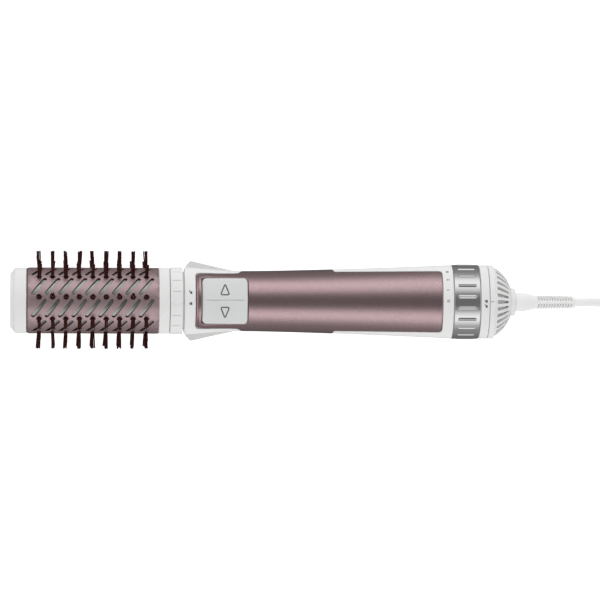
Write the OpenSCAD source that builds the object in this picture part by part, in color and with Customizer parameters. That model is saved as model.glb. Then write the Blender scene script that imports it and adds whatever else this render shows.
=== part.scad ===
// Hot air brush: a mains-powered styler with a motor-driven, slotted round brush head.
// The tool's axis runs along X, brush end at -X and cord at +X, at the height axis_z above the
// surface that the bristle tips touch (Z = 0). The buttons face +Z. Angles round the axis are
// counted from +Z towards +Y. All sizes are in millimetres.

/* [Brush head] */
// Overall length, nose of the brush to the cord socket
body_length = 343.6; // [343.6]
// Outside radius of the slotted barrel
barrel_r = 22.4; // [22.2:0.1:22.6]
// Length of the slotted barrel
barrel_length = 88.7; // [88.7]
// Radius of the circle through the bristle tips
tip_r = 34; // [32:0.5:36]
// Number of bristle rows round the barrel
rows = 9; // [9]
// Number of tufts in each row
tufts = 9; // [7:1:9]
// Distance between neighbouring tufts
tuft_pitch = 9.05; // [8.8:0.05:9.05]
// Angle of the first row, from the top
row_offset = 6.3; // [0:0.1:12]
// Width of the air slots
slot_w = 2.4; // [1.6:0.1:2.6]

/* [Handle] */
// Radius at the waist
waist_r = 20.5; // [20.3:0.1:20.8]
// Radius of the front collar
collar_r = 22.6; // [22.4:0.1:22.6]
// Radius of the rear end
rear_r = 25; // [24.8:0.1:25.2]
// Wall thickness of the shells
wall = 2; // [1.6:0.1:2.2]
// Side of the square rocker button
rocker_w = 30.7; // [29:0.1:31]

/* [Selector and grille] */
// Radius of the chromed selector ring
selector_r = 25.8; // [25.5:0.1:26]
// Number of grip bars on the selector ring
selector_bars = 20; // [16:1:22]
// Number of slots in the rear grille
grille_slots = 30; // [24:1:30]

/* [Cord] */
// Diameter of the mains lead
cord_d = 5.8; // [5.6:0.1:6]

/* [Hidden] */

$fn = 96;
cut = 0.01;            // how far a cutter reaches past the face that it cuts
big = 100;             // reaches past everything in the handle's cross-section
rear_flare = 4.9;       // how much wider than the waist the handle is at the selector
run_gap = 0.05;        // radial clearance of a shaft in its bush
part_gap = 0.3;        // clearance between pieces that turn past each other

// Stations along the axis
nose_x = -body_length / 2;
cap_x1 = nose_x + 10.9;
barrel_x0 = cap_x1 + 0.8;
barrel_x1 = barrel_x0 + barrel_length;
head_x1 = barrel_x1 + 7.4;      // rear of the head's white collar
ring_x0 = head_x1 + 0.3;
ring_x1 = ring_x0 + 8.5;
shell_x0 = ring_x1 + 1.1;       // front face of the handle
cover_x0 = shell_x0 + 7.5;
waist_x0 = -13;
waist_x1 = 46;
cover_x1 = 120.7;
selector_x0 = 128.4;
selector_x1 = 146.3;
band_x1 = 152.4;
grille_x1 = 168.6;
socket_x1 = body_length / 2;
relief_x0 = socket_x1 - 0.6;
relief_x1 = socket_x1 + 40.9;
socket_x0 = 148;
swivel_r = 7;

// Brush head
tuft_root_r = 1.0;
tuft_tip_r = 1.3;
first_tuft_x = barrel_x0 + 7.8;
row_pitch = 360 / rows;
lowest_row = round((180 - row_offset) / row_pitch) * row_pitch + row_offset;
axis_z = tip_r * abs(cos(lowest_row)) + tuft_tip_r * abs(sin(lowest_row));
sleeve_wall = 0.8;
strip_r0 = 20.5;
strip_r1 = 21.4;
strip_w = 4.4;
heat_tube_r = 20.4;
spigot_r = 21.4;                // the cap and the collar plug into the sleeve with this radius
hub_x0 = -84;
hub_x1 = -62;
slot_dx = 9.4;                  // how far a slot runs along the axis
slot_arc = 12.8;                // and how far round the barrel

// Gear train: both stages share one tooth count pair and one centre distance
gear_module = 0.5;
small_teeth = 9;
large_teeth = 27;
pressure_angle = 28;
centre_distance = gear_module * (small_teeth + large_teeth) / 2;
backlash = 0.14;
spindle_r = 3.2;
hex_r = 2.9;
pin_r = 1;
shaft_r = 1;

// Handle shells
seat_r = 22.9;                  // radius of the seat that the selector ring and rear band ride on
screw_r = 1.2;
screw_stations = [-1.5, 107.5];
post_base = 17.5;               // how far below the axis the screw posts reach

// Rocker button
rocker_x = cover_x0 + 4.4 + rocker_w / 2;
rocker_top = 21.3;              // height of the button's crown above the axis
rocker_crown_r = 28;
rocker_pivot = 13;              // height of its pin above the axis
rocker_gap = 0.5;
rocker_pin_r = 1;

// Selector
selector_travel = 54;
finger_angle = 153;             // where the ring's finger stands at the "off" mark
finger_room = 8;                // how far its slot runs past the travel, in degrees
finger_x = 135.7;

// Rear grille
dome_r0 = 23.7;                 // outside radius where the slotted dome starts
dome_hole_r = 10.4;
dome_x0 = band_x1 + 4.6;
dome_swell = 1.6;               // how far the dome stands out past a plain cone

// Cord: a neat coil of two layers, with its lead from the swivel and its tail to the plug
cord_r = cord_d / 2;
tie_t = 0.6;
coil_turns = 4;                 // turns in each layer
coil_inner = 4 * cord_d;        // radius of the innermost turn
coil_outer = coil_inner + (coil_turns - 1) * cord_d;
coil_centre = [290.4, 7];
lead_route = [
    [relief_x1, 0, axis_z], [220, 0, axis_z], [226, 0, axis_z - 0.2], [232.5, -0.5, axis_z - 1],
    [239, -2, axis_z - 2.7], [245.5, -4.6, axis_z - 5.2], [251.5, -8.5, axis_z - 8.4],
    [257, -13.5, axis_z - 11.8], [261.5, -18.5, axis_z - 15], [266, -23, axis_z - 18],
    [271, -27, axis_z - 20.6], [276.5, -30.2, axis_z - 22.6], [282.5, -32.4, axis_z - 23.8],
    [288.5, -33.6, 9.3]
];
tail_route = [
    [290.4, -33.7, 3.5], [297, -33.6, 3.5], [304, -33, 3.6], [311, -31.4, 4], [318, -28.8, 4.9],
    [325, -25, 6.3], [332, -20.4, 8.1], [339, -15.8, 10.3], [345.5, -12.2, 12.2],
    [350.5, -10.7, 12.9], [354, -10.5, 13], [357, -10.5, 13]
];

// Plug: a moulded two-pin contour plug that lies on its flat side
plug_x0 = 357;
plug_y = -10.5;
plug_z = 13;
plug_length = 38;
plug_w = 35.3;
plug_t = 26;
plug_pin_r = 2.4;
plug_pin_length = 19;
plug_pin_spacing = 19;

// ---- helpers -------------------------------------------------------------------------------

// Children stand with +Z outwards at angle phi round the tool's axis, and X along it
module spoke(phi = 0) translate([0, 0, axis_z]) rotate([-phi, 0, 0]) children();

// Turns an outline of [radius, x] points round the tool's axis
module revolve(points) translate([0, 0, axis_z]) rotate([0, 90, 0]) rotate_extrude() polygon(points);

// A plain rod along the axis from x0 to x1
module rod(r, x0, x1) translate([x0, 0, axis_z]) rotate([0, 90, 0]) cylinder(r = r, h = x1 - x0);

// A hexagonal rod along the axis, measured across its corners
module rod_hex(r, x0, x1)
    translate([x0, 0, axis_z]) rotate([0, 90, 0]) cylinder(r = r, h = x1 - x0, $fn = 6);

// A tube along the axis
module tube(r0, r1, x0, x1) revolve([[r0, x0], [r1, x0], [r1, x1], [r0, x1]]);

// Points of an arc, counted in the plane's own two coordinates
function arc(centre, r, a0, a1, n = 6) =
    [for (i = [0:n]) centre + r * [cos(a0 + (a1 - a0) * i / n), sin(a0 + (a1 - a0) * i / n)]];

function mirrored(points) = [for (i = [len(points) - 1:-1:0]) [points[i].x, -points[i].y]];

// Outside radius of the handle at x: straight collar, narrow waist, then a slow flare to the rear
function handle_r(x) =
    x < waist_x0 ? waist_r + (collar_r - waist_r) * pow(min(1, (waist_x0 - x) / 36), 2)
    : waist_r + rear_flare * pow(min(1, (x - waist_x0) / 148), 1.4);

// The shells bend at these stations between the front collar and the dial band
shell_steps = 20;
function shell_station(i) = cover_x0 - 0.5 + (cover_x1 - cover_x0 + 1) * i / shell_steps;

// The outline of the shells, which follow the handle
shell_outline = concat(
    [for (i = [0:shell_steps]) [handle_r(shell_station(i)), shell_station(i)]],
    [for (i = [shell_steps:-1:0]) [handle_r(shell_station(i)) - wall, shell_station(i)]]
);

// ---- brush head ----------------------------------------------------------------------------

module end_cap() color("whitesmoke") {
    face_edge = 1.9;
    shoulder = 2.4;
    step_r = 19.6;
    step_x = nose_x + face_edge;
    cap_r = barrel_r - 0.2;
    floor_x = step_x + 3.4;
    revolve(concat(
        [[0, nose_x]],
        arc([step_r - face_edge, step_x], face_edge, -90, 0),
        arc([cap_r - shoulder, step_x + shoulder], shoulder, -90, 0),
        [[cap_r, cap_x1], [spigot_r, cap_x1], [spigot_r, cap_x1 + 2.4], [heat_tube_r + 0.1, cap_x1 + 2.4]],
        [[heat_tube_r + 0.1, floor_x], [6.6, floor_x], [6.6, cap_x1 - 1], [5.02, cap_x1 - 1],
         [5.02, step_x + 1.6], [0, step_x + 1.6]]
    ));
}

module cap_seal() color("dimgray") tube(21.45, barrel_r - 0.6, cap_x1 + 0.02, barrel_x0 - 0.02);

module barrel_sleeve() color("rosybrown") difference() {
    tube(barrel_r - sleeve_wall, barrel_r, barrel_x0, barrel_x1);
    for (row = [0:rows - 1]) {
        for (k = [0:tufts - 1]) {
            x = first_tuft_x + k * tuft_pitch;
            spoke(row_offset + row * row_pitch) translate([x, 0, barrel_r - 3])
                cylinder(r = tuft_root_r + 0.7, h = 6, $fn = 24);
            spoke(row_offset + (row + 0.5) * row_pitch) translate([x, 0, barrel_r])
                rotate([0, 0, atan2(slot_arc, slot_dx)])
                cube([norm([slot_dx, slot_arc]), slot_w, 8], center = true);
        }
    }
}

module heat_tube() color("silver") difference() {
    tube(heat_tube_r - 1, heat_tube_r, barrel_x0 + 0.5, barrel_x1 - 2.7);
    for (row = [0:rows - 1])
        for (k = [0:2])
            spoke(row_offset + (row + 0.5) * row_pitch) translate([-140 + 24 * k, 0, 15])
                cylinder(r = 2, h = 8, $fn = 24);
}

module core_tube() color("gainsboro") tube(3.7, 5, nose_x + 4, hub_x0);

module drive_hub() color("gainsboro") difference() {
    union() {
        rod(6, hub_x0, hub_x1);
        tube(17.4, 19.3, hub_x0, barrel_x1 - 2.6);
        for (i = [0:2])
            spoke(i * 120) translate([hub_x0 + 2, -1.2, 5]) cube([7, 2.4, 13]);
    }
    rod_hex(hex_r + 0.12, hub_x0 - cut, hub_x1 + cut);
}

module head_collar() color("whitesmoke") {
    edge = 0.6;
    outer_r = barrel_r - 0.1;
    revolve([
        [heat_tube_r + 0.1, barrel_x1 - 2], [spigot_r, barrel_x1 - 2], [spigot_r, barrel_x1 + 0.2],
        [outer_r - edge, barrel_x1 + 0.2], [outer_r, barrel_x1 + 0.2 + edge], [outer_r, head_x1 - edge],
        [outer_r - edge, head_x1], [20.2, head_x1], [20.2, barrel_x1 + 1.8],
        [18.4, barrel_x1 + 1.8], [18.4, barrel_x1 - 2.6], [heat_tube_r + 0.1, barrel_x1 - 2.6]
    ]);
}

// One row of tufts on its bar; the bar lies between the heat tube and the sleeve
module bristle_strip(row) color("saddlebrown") spoke(row_offset + row * row_pitch) {
    translate([first_tuft_x - 3.2, -strip_w / 2, strip_r0])
        cube([(tufts - 1) * tuft_pitch + 6.4, strip_w, strip_r1 - strip_r0]);
    for (k = [0:tufts - 1])
        translate([first_tuft_x + k * tuft_pitch, 0, strip_r1])
            cylinder(r1 = tuft_root_r, r2 = tuft_tip_r, h = tip_r - strip_r1, $fn = 20);
}

// ---- head lock -----------------------------------------------------------------------------

module lock_ring() color("whitesmoke") difference() {
    ring_r = collar_r + 0.2;
    union() {
        revolve([
            [19.8, ring_x0], [ring_r - 0.6, ring_x0], [ring_r, ring_x0 + 0.6], [ring_r, ring_x1 - 0.6],
            [ring_r - 0.6, ring_x1], [19.8, ring_x1]
        ]);
        for (i = [1:16])
            spoke(-4.6 + i * 360 / 17) translate([ring_x0 + 1.9, -0.35, ring_r - 0.5])
                cube([5.2, 0.7, 0.9]);
        spoke(-4.6) translate([ring_x0 + 1.7, -1.1, ring_r - 0.5]) cube([5.6, 2.2, 0.9]);
    }
    for (i = [0:2])
        spoke(60 + i * 120) translate([ring_x0 - cut, -3, 18]) cube([4, 6, 2.6]);
}

// ---- brush drive ---------------------------------------------------------------------------

// Involute tooth flank: the point at roll angle t on a base circle of radius rb
function involute(rb, t) = rb * [cos(t) + t * PI / 180 * sin(t), sin(t) - t * PI / 180 * cos(t)];
function roll_at(rb, r) = r <= rb ? 0 : sqrt(pow(r / rb, 2) - 1) * 180 / PI;
function turned(p, a) = [p.x * cos(a) - p.y * sin(a), p.x * sin(a) + p.y * cos(a)];

// Outline of a spur gear with one tooth centred on its own +X axis
function gear_outline(teeth) =
    let (
        pitch_r = gear_module * teeth / 2,
        rb = pitch_r * cos(pressure_angle),
        tip = pitch_r + 0.8 * gear_module,
        root = pitch_r - 1.1 * gear_module,
        roll_pitch = roll_at(rb, pitch_r),
        at_pitch = involute(rb, roll_pitch),
        half = 90 / teeth - backlash / pitch_r * 90 / PI,
        shift = half + atan2(at_pitch.y, at_pitch.x),
        flank = concat(
            [[root, 0]],
            [for (i = [0:4]) involute(rb, roll_at(rb, tip) * i / 4)]
        )
    )
    [for (k = [0:teeth - 1]) each concat(
        [for (p = flank) turned(p, k * 360 / teeth - shift)],
        [for (i = [len(flank) - 1:-1:0]) turned([flank[i].x, -flank[i].y], k * 360 / teeth + shift)]
    )];

module gear(teeth, x0, x1, drop = 0)
    translate([x0, 0, axis_z - drop]) rotate([0, 90, 0])
        linear_extrude(x1 - x0) polygon(gear_outline(teeth));

module drive_spindle() color("silver") {
    rod(spindle_r, -53.5, -39.8);
    rod_hex(hex_r, -83, -53.5);
}

module output_gear() color("ivory") difference() {
    gear(large_teeth, -43.5, -40);
    rod(spindle_r, -44, -39);
}

module compound_gear() color("ivory") difference() {
    union() {
        gear(large_teeth, -38.5, -35, centre_distance);
        gear(small_teeth, -44.5, -38.5, centre_distance);
    }
    translate([-45, 0, axis_z - centre_distance]) rotate([0, 90, 0])
        cylinder(r = pin_r + run_gap, h = 12);
}

module motor_pinion() color("goldenrod") {
    gear(small_teeth, -38.8, -34.6);
    rod(shaft_r, -34.6, -20);
}

module gear_pin() color("silver") translate([-48, 0, axis_z - centre_distance]) rotate([0, 90, 0])
    cylinder(r = pin_r, h = 15);

module spindle_bush() color("goldenrod") tube(spindle_r + run_gap, 5, -53, -46);

// The outline of the gearbox, seen along the axis, with the second shaft below the first
module gearbox_outline(grow) {
    translate([0, 0]) circle(r = 8.4 + grow);
    translate([centre_distance, 0]) circle(r = 8.4 + grow);
    translate([0, -8.4 - grow]) square([centre_distance, 2 * (8.4 + grow)]);
}
module gearbox_body(grow, x0, x1) translate([x0, 0, axis_z]) rotate([0, 90, 0])
    linear_extrude(x1 - x0) gearbox_outline(grow);

module gearbox_case() color("gray") difference() {
    union() {
        gearbox_body(1.2, -46, -34);
        rod(6.6, -53, -46);
        tube(17.5, handle_r(-43) - wall - 0.1, -46, -43);
        for (a = [55, 125, -55, -125])
            spoke(a) translate([-46, -1, 8.5]) cube([3, 2, 9.8]);
    }
    gearbox_body(0, -45, -34 + cut);
    rod(5, -54, -44);
    translate([-46.5, 0, axis_z - centre_distance]) rotate([0, 90, 0]) cylinder(r = pin_r, h = 4);
}

module gearbox_cover() color("dimgray") difference() {
    gearbox_body(1.2, -34, -32.6);
    rod(2, -35, -32);
    translate([-35, 0, axis_z - centre_distance]) rotate([0, 90, 0]) cylinder(r = pin_r, h = 4);
}

module brush_motor() color("silver") difference() {
    union() {
        rod(8, -32.5, -8);
        rod(3, -8, -6.5);
    }
    rod(shaft_r + run_gap, -33, -19);
}

module motor_cradle() color("gainsboro") {
    tube(8.05, 9.6, -26, -16);
    for (a = [70, 180, -70])
        spoke(a) translate([-25, -1, 9.2]) cube([8, 2, 9]);
}

// ---- handle shells -------------------------------------------------------------------------

// Plan of the coloured cover, half of it, from its front edge to its rear edge
cover_plan = concat(
    arc([cover_x0 + 2.6, 16.4], 2.6, 180, 90),
    [[-17, 18.6], [-15, 19], [-13.6, 20.4], [waist_x0 + 0.8, 26], [waist_x1, 26], [waist_x1 + 0.8, 22],
     [waist_x1 + 2.4, 20.7], [waist_x1 + 5, 20.1]],
    arc([cover_x1 - 3.4, 17.4], 3.4, 90, 0)
);

module cover_mask() {
    translate([0, 0, axis_z]) linear_extrude(big) polygon(concat(cover_plan, mirrored(cover_plan)));
    translate([waist_x0, -big / 2, axis_z - 8]) cube([waist_x1 - waist_x0, big, 8]);
}

module rocker_opening() {
    side = rocker_w + 2 * rocker_gap;
    translate([rocker_x - side / 2, -side / 2, axis_z + 5]) cube([side, side, big]);
}

module back_shell() color("whitesmoke") difference() {
    union() {
        revolve(shell_outline);
        // front collar, its face and the neck that carries the lock ring
        revolve([
            [16.6, ring_x0 + 0.4], [19.5, ring_x0 + 0.4], [19.5, shell_x0 - 0.4], [20.6, shell_x0 - 0.4],
            [collar_r, shell_x0 + 0.9], [collar_r, cover_x0 - 0.5], [collar_r - wall, cover_x0 - 0.5],
            [19.3, shell_x0 + 2], [16.6, shell_x0 + 2]
        ]);
        // dial band and the seat of the selector ring
        revolve([
            [handle_r(cover_x1) - wall, cover_x1 + 0.5], [handle_r(cover_x1 + 0.5), cover_x1 + 0.5],
            [rear_r, selector_x0 - 0.3], [seat_r, selector_x0 - 0.3], [seat_r, band_x1 - 2],
            [seat_r - wall, band_x1 - 2], [seat_r - wall, selector_x0 - 2]
        ]);
    }
    cover_mask();
    selector_slot();
    screw_holes();
}

// The cover carries two posts that the housing screws run up into
module front_cover() color("rosybrown") difference() {
    union() {
        intersection() {
            revolve(shell_outline);
            cover_mask();
        }
        for (x = screw_stations)
            translate([x, 0, axis_z - post_base]) cylinder(r = 2.6, h = post_base + handle_r(x) - 1);
    }
    rocker_opening();
    screw_holes();
}

// A flared heel round the back of the collar, which keeps fingers off the hot end
module rest_saddle() color("whitesmoke") difference() {
    x0 = shell_x0 + 0.9;
    gap = 0.02;
    stations = [for (i = [0:3]) shell_station(i)];
    lift = [4.6, 3.2, 1.7, 0.3];
    revolve(concat(
        [[collar_r + gap, x0], [24, x0 + 0.2], [27.4, x0 + 3.6]],
        [for (i = [0:3]) [handle_r(stations[i]) + lift[i], stations[i]]],
        [for (i = [3:-1:1]) [handle_r(stations[i]) + gap, stations[i]]],
        [[collar_r + gap, stations[0]]]
    ));
    translate([-big, -big / 2, axis_z - 1]) cube([2 * big, big, big]);
}

// A pan-head screw at each station, seen from below, with its head sunk in the back shell
module screw_at(x, clearance) translate([x, 0, axis_z - handle_r(x)]) {
    translate([0, 0, 0.4 - clearance]) cylinder(r = 2.4 + clearance, h = 1 + clearance, $fn = 32);
    cylinder(r = screw_r + clearance, h = 9, $fn = 32);
}

module screw_holes() for (x = screw_stations) {
    screw_at(x, 0.02);
    translate([x, 0, axis_z - handle_r(x) - 2]) cylinder(r = 2.42, h = 3, $fn = 32);
}

module housing_screws() color("silver") for (x = screw_stations)
    intersection() {
        screw_at(x, 0);
        translate([x, 0, axis_z - handle_r(x) + 0.4]) cylinder(r = 5, h = 20);
    }

// ---- rocker button -------------------------------------------------------------------------

module rocker_button() color("whitesmoke") {
    hollow_w = rocker_w - 3;
    ceiling = 16.2;
    difference() {
        intersection() {
            translate([rocker_x - rocker_w / 2, -rocker_w / 2, axis_z + rocker_pivot - 2.2])
                cube([rocker_w, rocker_w, 15]);
            translate([-big, 0, axis_z + rocker_top - rocker_crown_r]) rotate([0, 90, 0])
                cylinder(r = rocker_crown_r, h = 2 * big);
        }
        // hollow below the skin, which leaves two walls that the pin runs in
        translate([rocker_x - hollow_w / 2, -hollow_w / 2, axis_z]) cube([hollow_w, hollow_w, ceiling]);
        translate([rocker_x - big, 0, axis_z + rocker_pivot]) rotate([0, 90, 0])
            cylinder(r = rocker_pin_r + run_gap, h = 2 * big);
    }
    // one plunger over each switch
    for (side = [-1, 1])
        translate([rocker_x, side * 10, axis_z + ceiling - 2.2]) cylinder(r = 1.4, h = 2.3, $fn = 32);
}

module rocker_pin() color("silver")
    translate([rocker_x - 15.2, 0, axis_z + rocker_pivot]) rotate([0, 90, 0])
    cylinder(r = rocker_pin_r, h = 30.4);

module rocker_frame() color("gainsboro") difference() {
    union() {
        for (side = [-1, 1])
            translate([rocker_x + side * 10 - 1, -4, axis_z + 10.6]) cube([2, 8, 4]);
        translate([rocker_x - 13, -4, axis_z + 10.6]) cube([26, 8, 0.8]);
    }
    translate([rocker_x - big, 0, axis_z + rocker_pivot]) rotate([0, 90, 0])
        cylinder(r = rocker_pin_r, h = 2 * big);
}

module rocker_board() color("darkgreen") {
    translate([rocker_x - 13, -13.5, axis_z + 9.8]) cube([26, 27, 0.8]);
    for (side = [-1, 1])
        translate([rocker_x - 3, side * 10 - 3, axis_z + 10.6]) cube([6, 6, 2.4]);
}

// ---- heater and fan ------------------------------------------------------------------------

module heater_tube() color("tan") tube(15.4, 16.2, 4, 64);

module heater_boards() color("wheat") {
    translate([6, -12, axis_z - 0.4]) cube([56, 24, 0.8]);
    translate([6, -0.4, axis_z - 12]) cube([56, 0.8, 24]);
    for (a = [0, 90, 180, 270])
        spoke(a) translate([6, -0.4, 11]) cube([2, 0.8, 4.3]);
}

module heater_coil() color("silver") for (i = [0:13])
    translate([10 + i * 3.6, 0, axis_z]) rotate([0, 90, 0])
        rotate_extrude() translate([12.6, 0]) circle(r = 0.4, $fn = 16);

module fan_motor() color("silver") difference() {
    union() {
        rod(10.5, 68, 90);
        rod(4, 66, 68);
    }
    rod(shaft_r + run_gap, 80, 91);
}

module fan_duct() color("gainsboro") {
    tube(18.9, 20.1, 70, 104);
    tube(10.55, 12, 72, 88);
    for (i = [0:5])
        spoke(30 + i * 60) translate([73, -0.75, 11.7]) cube([14, 1.5, 7.5]);
}

module fan_impeller() color("dimgray") {
    rod(shaft_r, 81, 92.5);
    rod(6.5, 92.5, 102);
    for (i = [0:6])
        spoke(i * 360 / 7) translate([97, 0, 12]) rotate([0, 0, 38]) cube([9, 1, 12], center = true);
}

module control_board() color("darkgreen") {
    board_x0 = 112;
    top = axis_z - 7.8;
    translate([board_x0, -18, top - 1.2]) cube([20, 36, 1.2]);
    translate([board_x0 + 2, -13, top]) cube([7, 9, 6]);
    translate([board_x0 + 11, -11, top]) cube([6, 6, 4]);
    translate([board_x0 + 6, 7, top]) cylinder(r = 4, h = 9, $fn = 32);
    translate([board_x0 + 15.5, 8, top]) cylinder(r = 2.5, h = 6, $fn = 32);
}

// ---- selector ------------------------------------------------------------------------------

// A wedge of a rod, from angle a0 to angle a1
module sector(r, a0, a1, x0, x1) translate([x0, 0, axis_z]) rotate([0, 90, 0])
    linear_extrude(x1 - x0)
        polygon(concat([[0, 0]], [for (i = [0:8]) let (a = a0 + (a1 - a0) * i / 8) r * [-cos(a), sin(a)]]));

module selector_slot() intersection() {
    sector(40, finger_angle - finger_room, finger_angle + selector_travel + finger_room,
        finger_x - 0.7, finger_x + 3.9);
    tube(seat_r - wall - 1, seat_r + 1, finger_x - 2, finger_x + 6);
}

module selector_ring() color("silver") {
    edge = 0.5;
    bar_w = 1.9;
    bar_length = 12.5;
    bar_height = 0.5;
    ring_r = selector_r - bar_height;
    revolve([
        [seat_r + part_gap, selector_x0], [ring_r - edge, selector_x0], [ring_r, selector_x0 + edge],
        [ring_r, selector_x1 - edge], [ring_r - edge, selector_x1], [seat_r + part_gap, selector_x1]
    ]);
    for (i = [0:selector_bars - 1])
        spoke(8.1 + i * 360 / selector_bars)
            translate([(selector_x0 + selector_x1 - bar_length) / 2, -bar_w / 2, ring_r - 0.5])
            cube([bar_length, bar_w, bar_height + 0.5]);
}

module selector_finger() color("gray") intersection() {
    spoke(finger_angle) translate([finger_x, -1.5, 17.2]) cube([3.2, 3, 7]);
    rod(seat_r + part_gap, finger_x - 1, finger_x + 5);
}

module selector_switch() color("darkgreen") intersection() {
    tube(13.5, seat_r - wall, finger_x + 4.4, finger_x + 6);
    sector(40, finger_angle - 25, finger_angle + selector_travel + 25, finger_x + 4, finger_x + 7);
}

module rear_band() color("whitesmoke") tube(seat_r, rear_r, selector_x1 + part_gap, band_x1);

// ---- rear grille and cord swivel -----------------------------------------------------------

// Outline of the slotted dome, from its rim at t = 0 to the hole for the cord socket at t = 1
function dome_point(t, inset) =
    let (slope = [dome_hole_r - dome_r0, grille_x1 - dome_x0], out = [slope.y, -slope.x] / norm(slope))
    [dome_r0, dome_x0] + slope * t + out * (dome_swell * 4 * t * (1 - t) - inset);

module rear_grille() color("whitesmoke") difference() {
    steps = 8;
    grille_wall = 1.5;
    rim_x0 = band_x1 + part_gap;
    revolve(concat(
        [[23.2, rim_x0], [rear_r, rim_x0], [rear_r, dome_x0 - 1], [rear_r - 0.4, dome_x0 - 0.6]],
        [for (i = [0:steps]) dome_point(i / steps, 0)],
        [for (i = [steps:-1:0]) dome_point(i / steps, grille_wall)],
        [[23.2, dome_x0 - 1.6]]
    ));
    for (i = [0:grille_slots - 1])
        spoke((i + 0.5) * 360 / grille_slots) translate([dome_x0 + 0.6, -0.85, 12.2])
            cube([20, 1.7, 10]);
}

module filter_screen() color("dimgray") tube(10.6, 22.9, band_x1 + 0.6, band_x1 + 1.4);

module swivel_socket() color("whitesmoke") difference() {
    union() {
        revolve([
            [swivel_r + run_gap, socket_x0], [8.4, socket_x0], [8.4, grille_x1 - 1.2],
            [9.4, grille_x1], [9.4, socket_x1 - 0.8], [8.6, socket_x1],
            [swivel_r + run_gap, socket_x1]
        ]);
        tube(seat_r - wall - 1.5, seat_r - wall, socket_x0 - 2.5, socket_x0 + 4);
        for (a = [30, 150, 270])
            spoke(a) translate([socket_x0, -1.2, 8]) cube([4, 2.4, 12]);
    }
}

// The turning half of the cord outlet, with a flange that keeps it in its socket
module swivel_barrel() color("gray") revolve([
    [1.6, socket_x0 - 10], [3.1, socket_x0 - 10], [3.1, socket_x0 - 3], [8.2, socket_x0 - 3],
    [8.2, socket_x0 - part_gap], [swivel_r, socket_x0 - part_gap], [swivel_r, relief_x0],
    [1.6, relief_x0]
]);

module slip_rings() color("goldenrod") for (i = [0:1])
    tube(3.1, 5.4, socket_x0 - 9.6 + 3 * i, socket_x0 - 7.6 + 3 * i);

// The bend relief: a bell, then a tapered stem whose ribs let it flex
module strain_relief() color("whitesmoke") {
    bell_r = 6.4;
    neck_r = 4.75;
    rib_r0 = 4.65;
    rib_r1 = 3.85;
    rib_x0 = socket_x1 + 15.5;
    ribs = 12;
    rib_pitch = (relief_x1 - rib_x0) / ribs;
    revolve(concat(
        [[cord_r, relief_x0], [bell_r, relief_x0], [bell_r, socket_x1 + 6.5], [6, socket_x1 + 8.5],
         [5.2, socket_x1 + 10.8], [neck_r, socket_x1 + 13]],
        [for (i = [0:ribs - 1]) let (x = rib_x0 + i * rib_pitch, r = rib_r0 + (rib_r1 - rib_r0) * i / ribs)
            each [[r, x], [r, x + rib_pitch * 0.5], [r - 0.5, x + rib_pitch * 0.55],
                  [r - 0.5, x + rib_pitch * 0.95]]],
        [[rib_r1, relief_x1], [cord_r, relief_x1]]
    ));
}

// ---- cord, coil and plug -------------------------------------------------------------------

function unit(v) = v / norm(v);

// Direction of a route at its point i
function heading(route, i) =
    unit(route[min(i + 1, len(route) - 1)] - route[max(i - 1, 0)]);

// A round tube swept along a route: one ring of points at each route point
module swept(route, r, sides = 10) {
    rings = [for (i = [0:len(route) - 1])
        let (t = heading(route, i), u = unit(cross([0, 0, 1], t)), v = cross(t, u))
        for (k = [0:sides - 1]) let (a = 360 * k / sides) route[i] + r * (cos(a) * u + sin(a) * v)];
    last = len(route) - 1;
    faces = concat(
        [for (i = [0:last - 1]) for (k = [0:sides - 1])
            let (n = (k + 1) % sides)
            [i * sides + k, (i + 1) * sides + k, (i + 1) * sides + n, i * sides + n]],
        [[for (k = [0:sides - 1]) k]],
        [[for (k = [sides - 1:-1:0]) last * sides + k]]
    );
    polyhedron(rings, faces);
}

module cord_lead() color("whitesmoke") swept(lead_route, cord_r);

module cord_tail() color("whitesmoke") swept(tail_route, cord_r);

module cord_coil() color("whitesmoke") {
    bend = 2.4;
    inner = coil_inner - cord_r;
    outer = coil_outer + cord_r;
    top = tie_t + 2 * cord_d;
    translate([coil_centre.x, coil_centre.y, 0]) rotate_extrude() polygon(concat(
        arc([outer - bend, tie_t + bend], bend, -90, 0, 4),
        arc([outer - bend, top - bend], bend, 0, 90, 4),
        arc([inner + bend, top - bend], bend, 90, 180, 4),
        arc([inner + bend, tie_t + bend], bend, 180, 270, 4)
    ));
}

module cord_tie() color("dimgray") {
    inner = coil_inner - cord_r;
    depth = coil_turns * cord_d;
    tie_w = 8;
    translate([coil_centre.x - tie_w / 2, coil_centre.y + inner - 0.5, 0]) difference() {
        translate([0, -tie_t, 0]) cube([tie_w, depth + 0.5 + 2 * tie_t, 2 * cord_d + 2 * tie_t]);
        translate([-1, 0, tie_t]) cube([tie_w + 2, depth + 0.5, 2 * cord_d]);
    }
}

// Cross-section of the plug, which lies on its flat side
module plug_section(w, t) {
    r = t / 2 - 0.01;
    for (side = [-1, 1])
        translate([0, side * (w / 2 - r)]) circle(r = r, $fn = 48);
    translate([-r, -(w / 2 - r)]) square([2 * r, w - 2 * r]);
}

module plug_body() color("whitesmoke") {
    neck_r = 6;
    translate([plug_x0, plug_y, plug_z]) rotate([0, 90, 0]) {
        cylinder(r1 = 4.2, r2 = neck_r, h = 12);
        translate([0, 0, 12]) linear_extrude(plug_length - 12) plug_section(plug_w, plug_t);
    }
}

module plug_pins() color("silver") for (side = [-1, 1])
    translate([plug_x0 + plug_length, plug_y + side * plug_pin_spacing / 2, plug_z]) rotate([0, 90, 0])
        cylinder(r = plug_pin_r, h = plug_pin_length, $fn = 48);

// ---- nodes ---------------------------------------------------------------------------------

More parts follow.
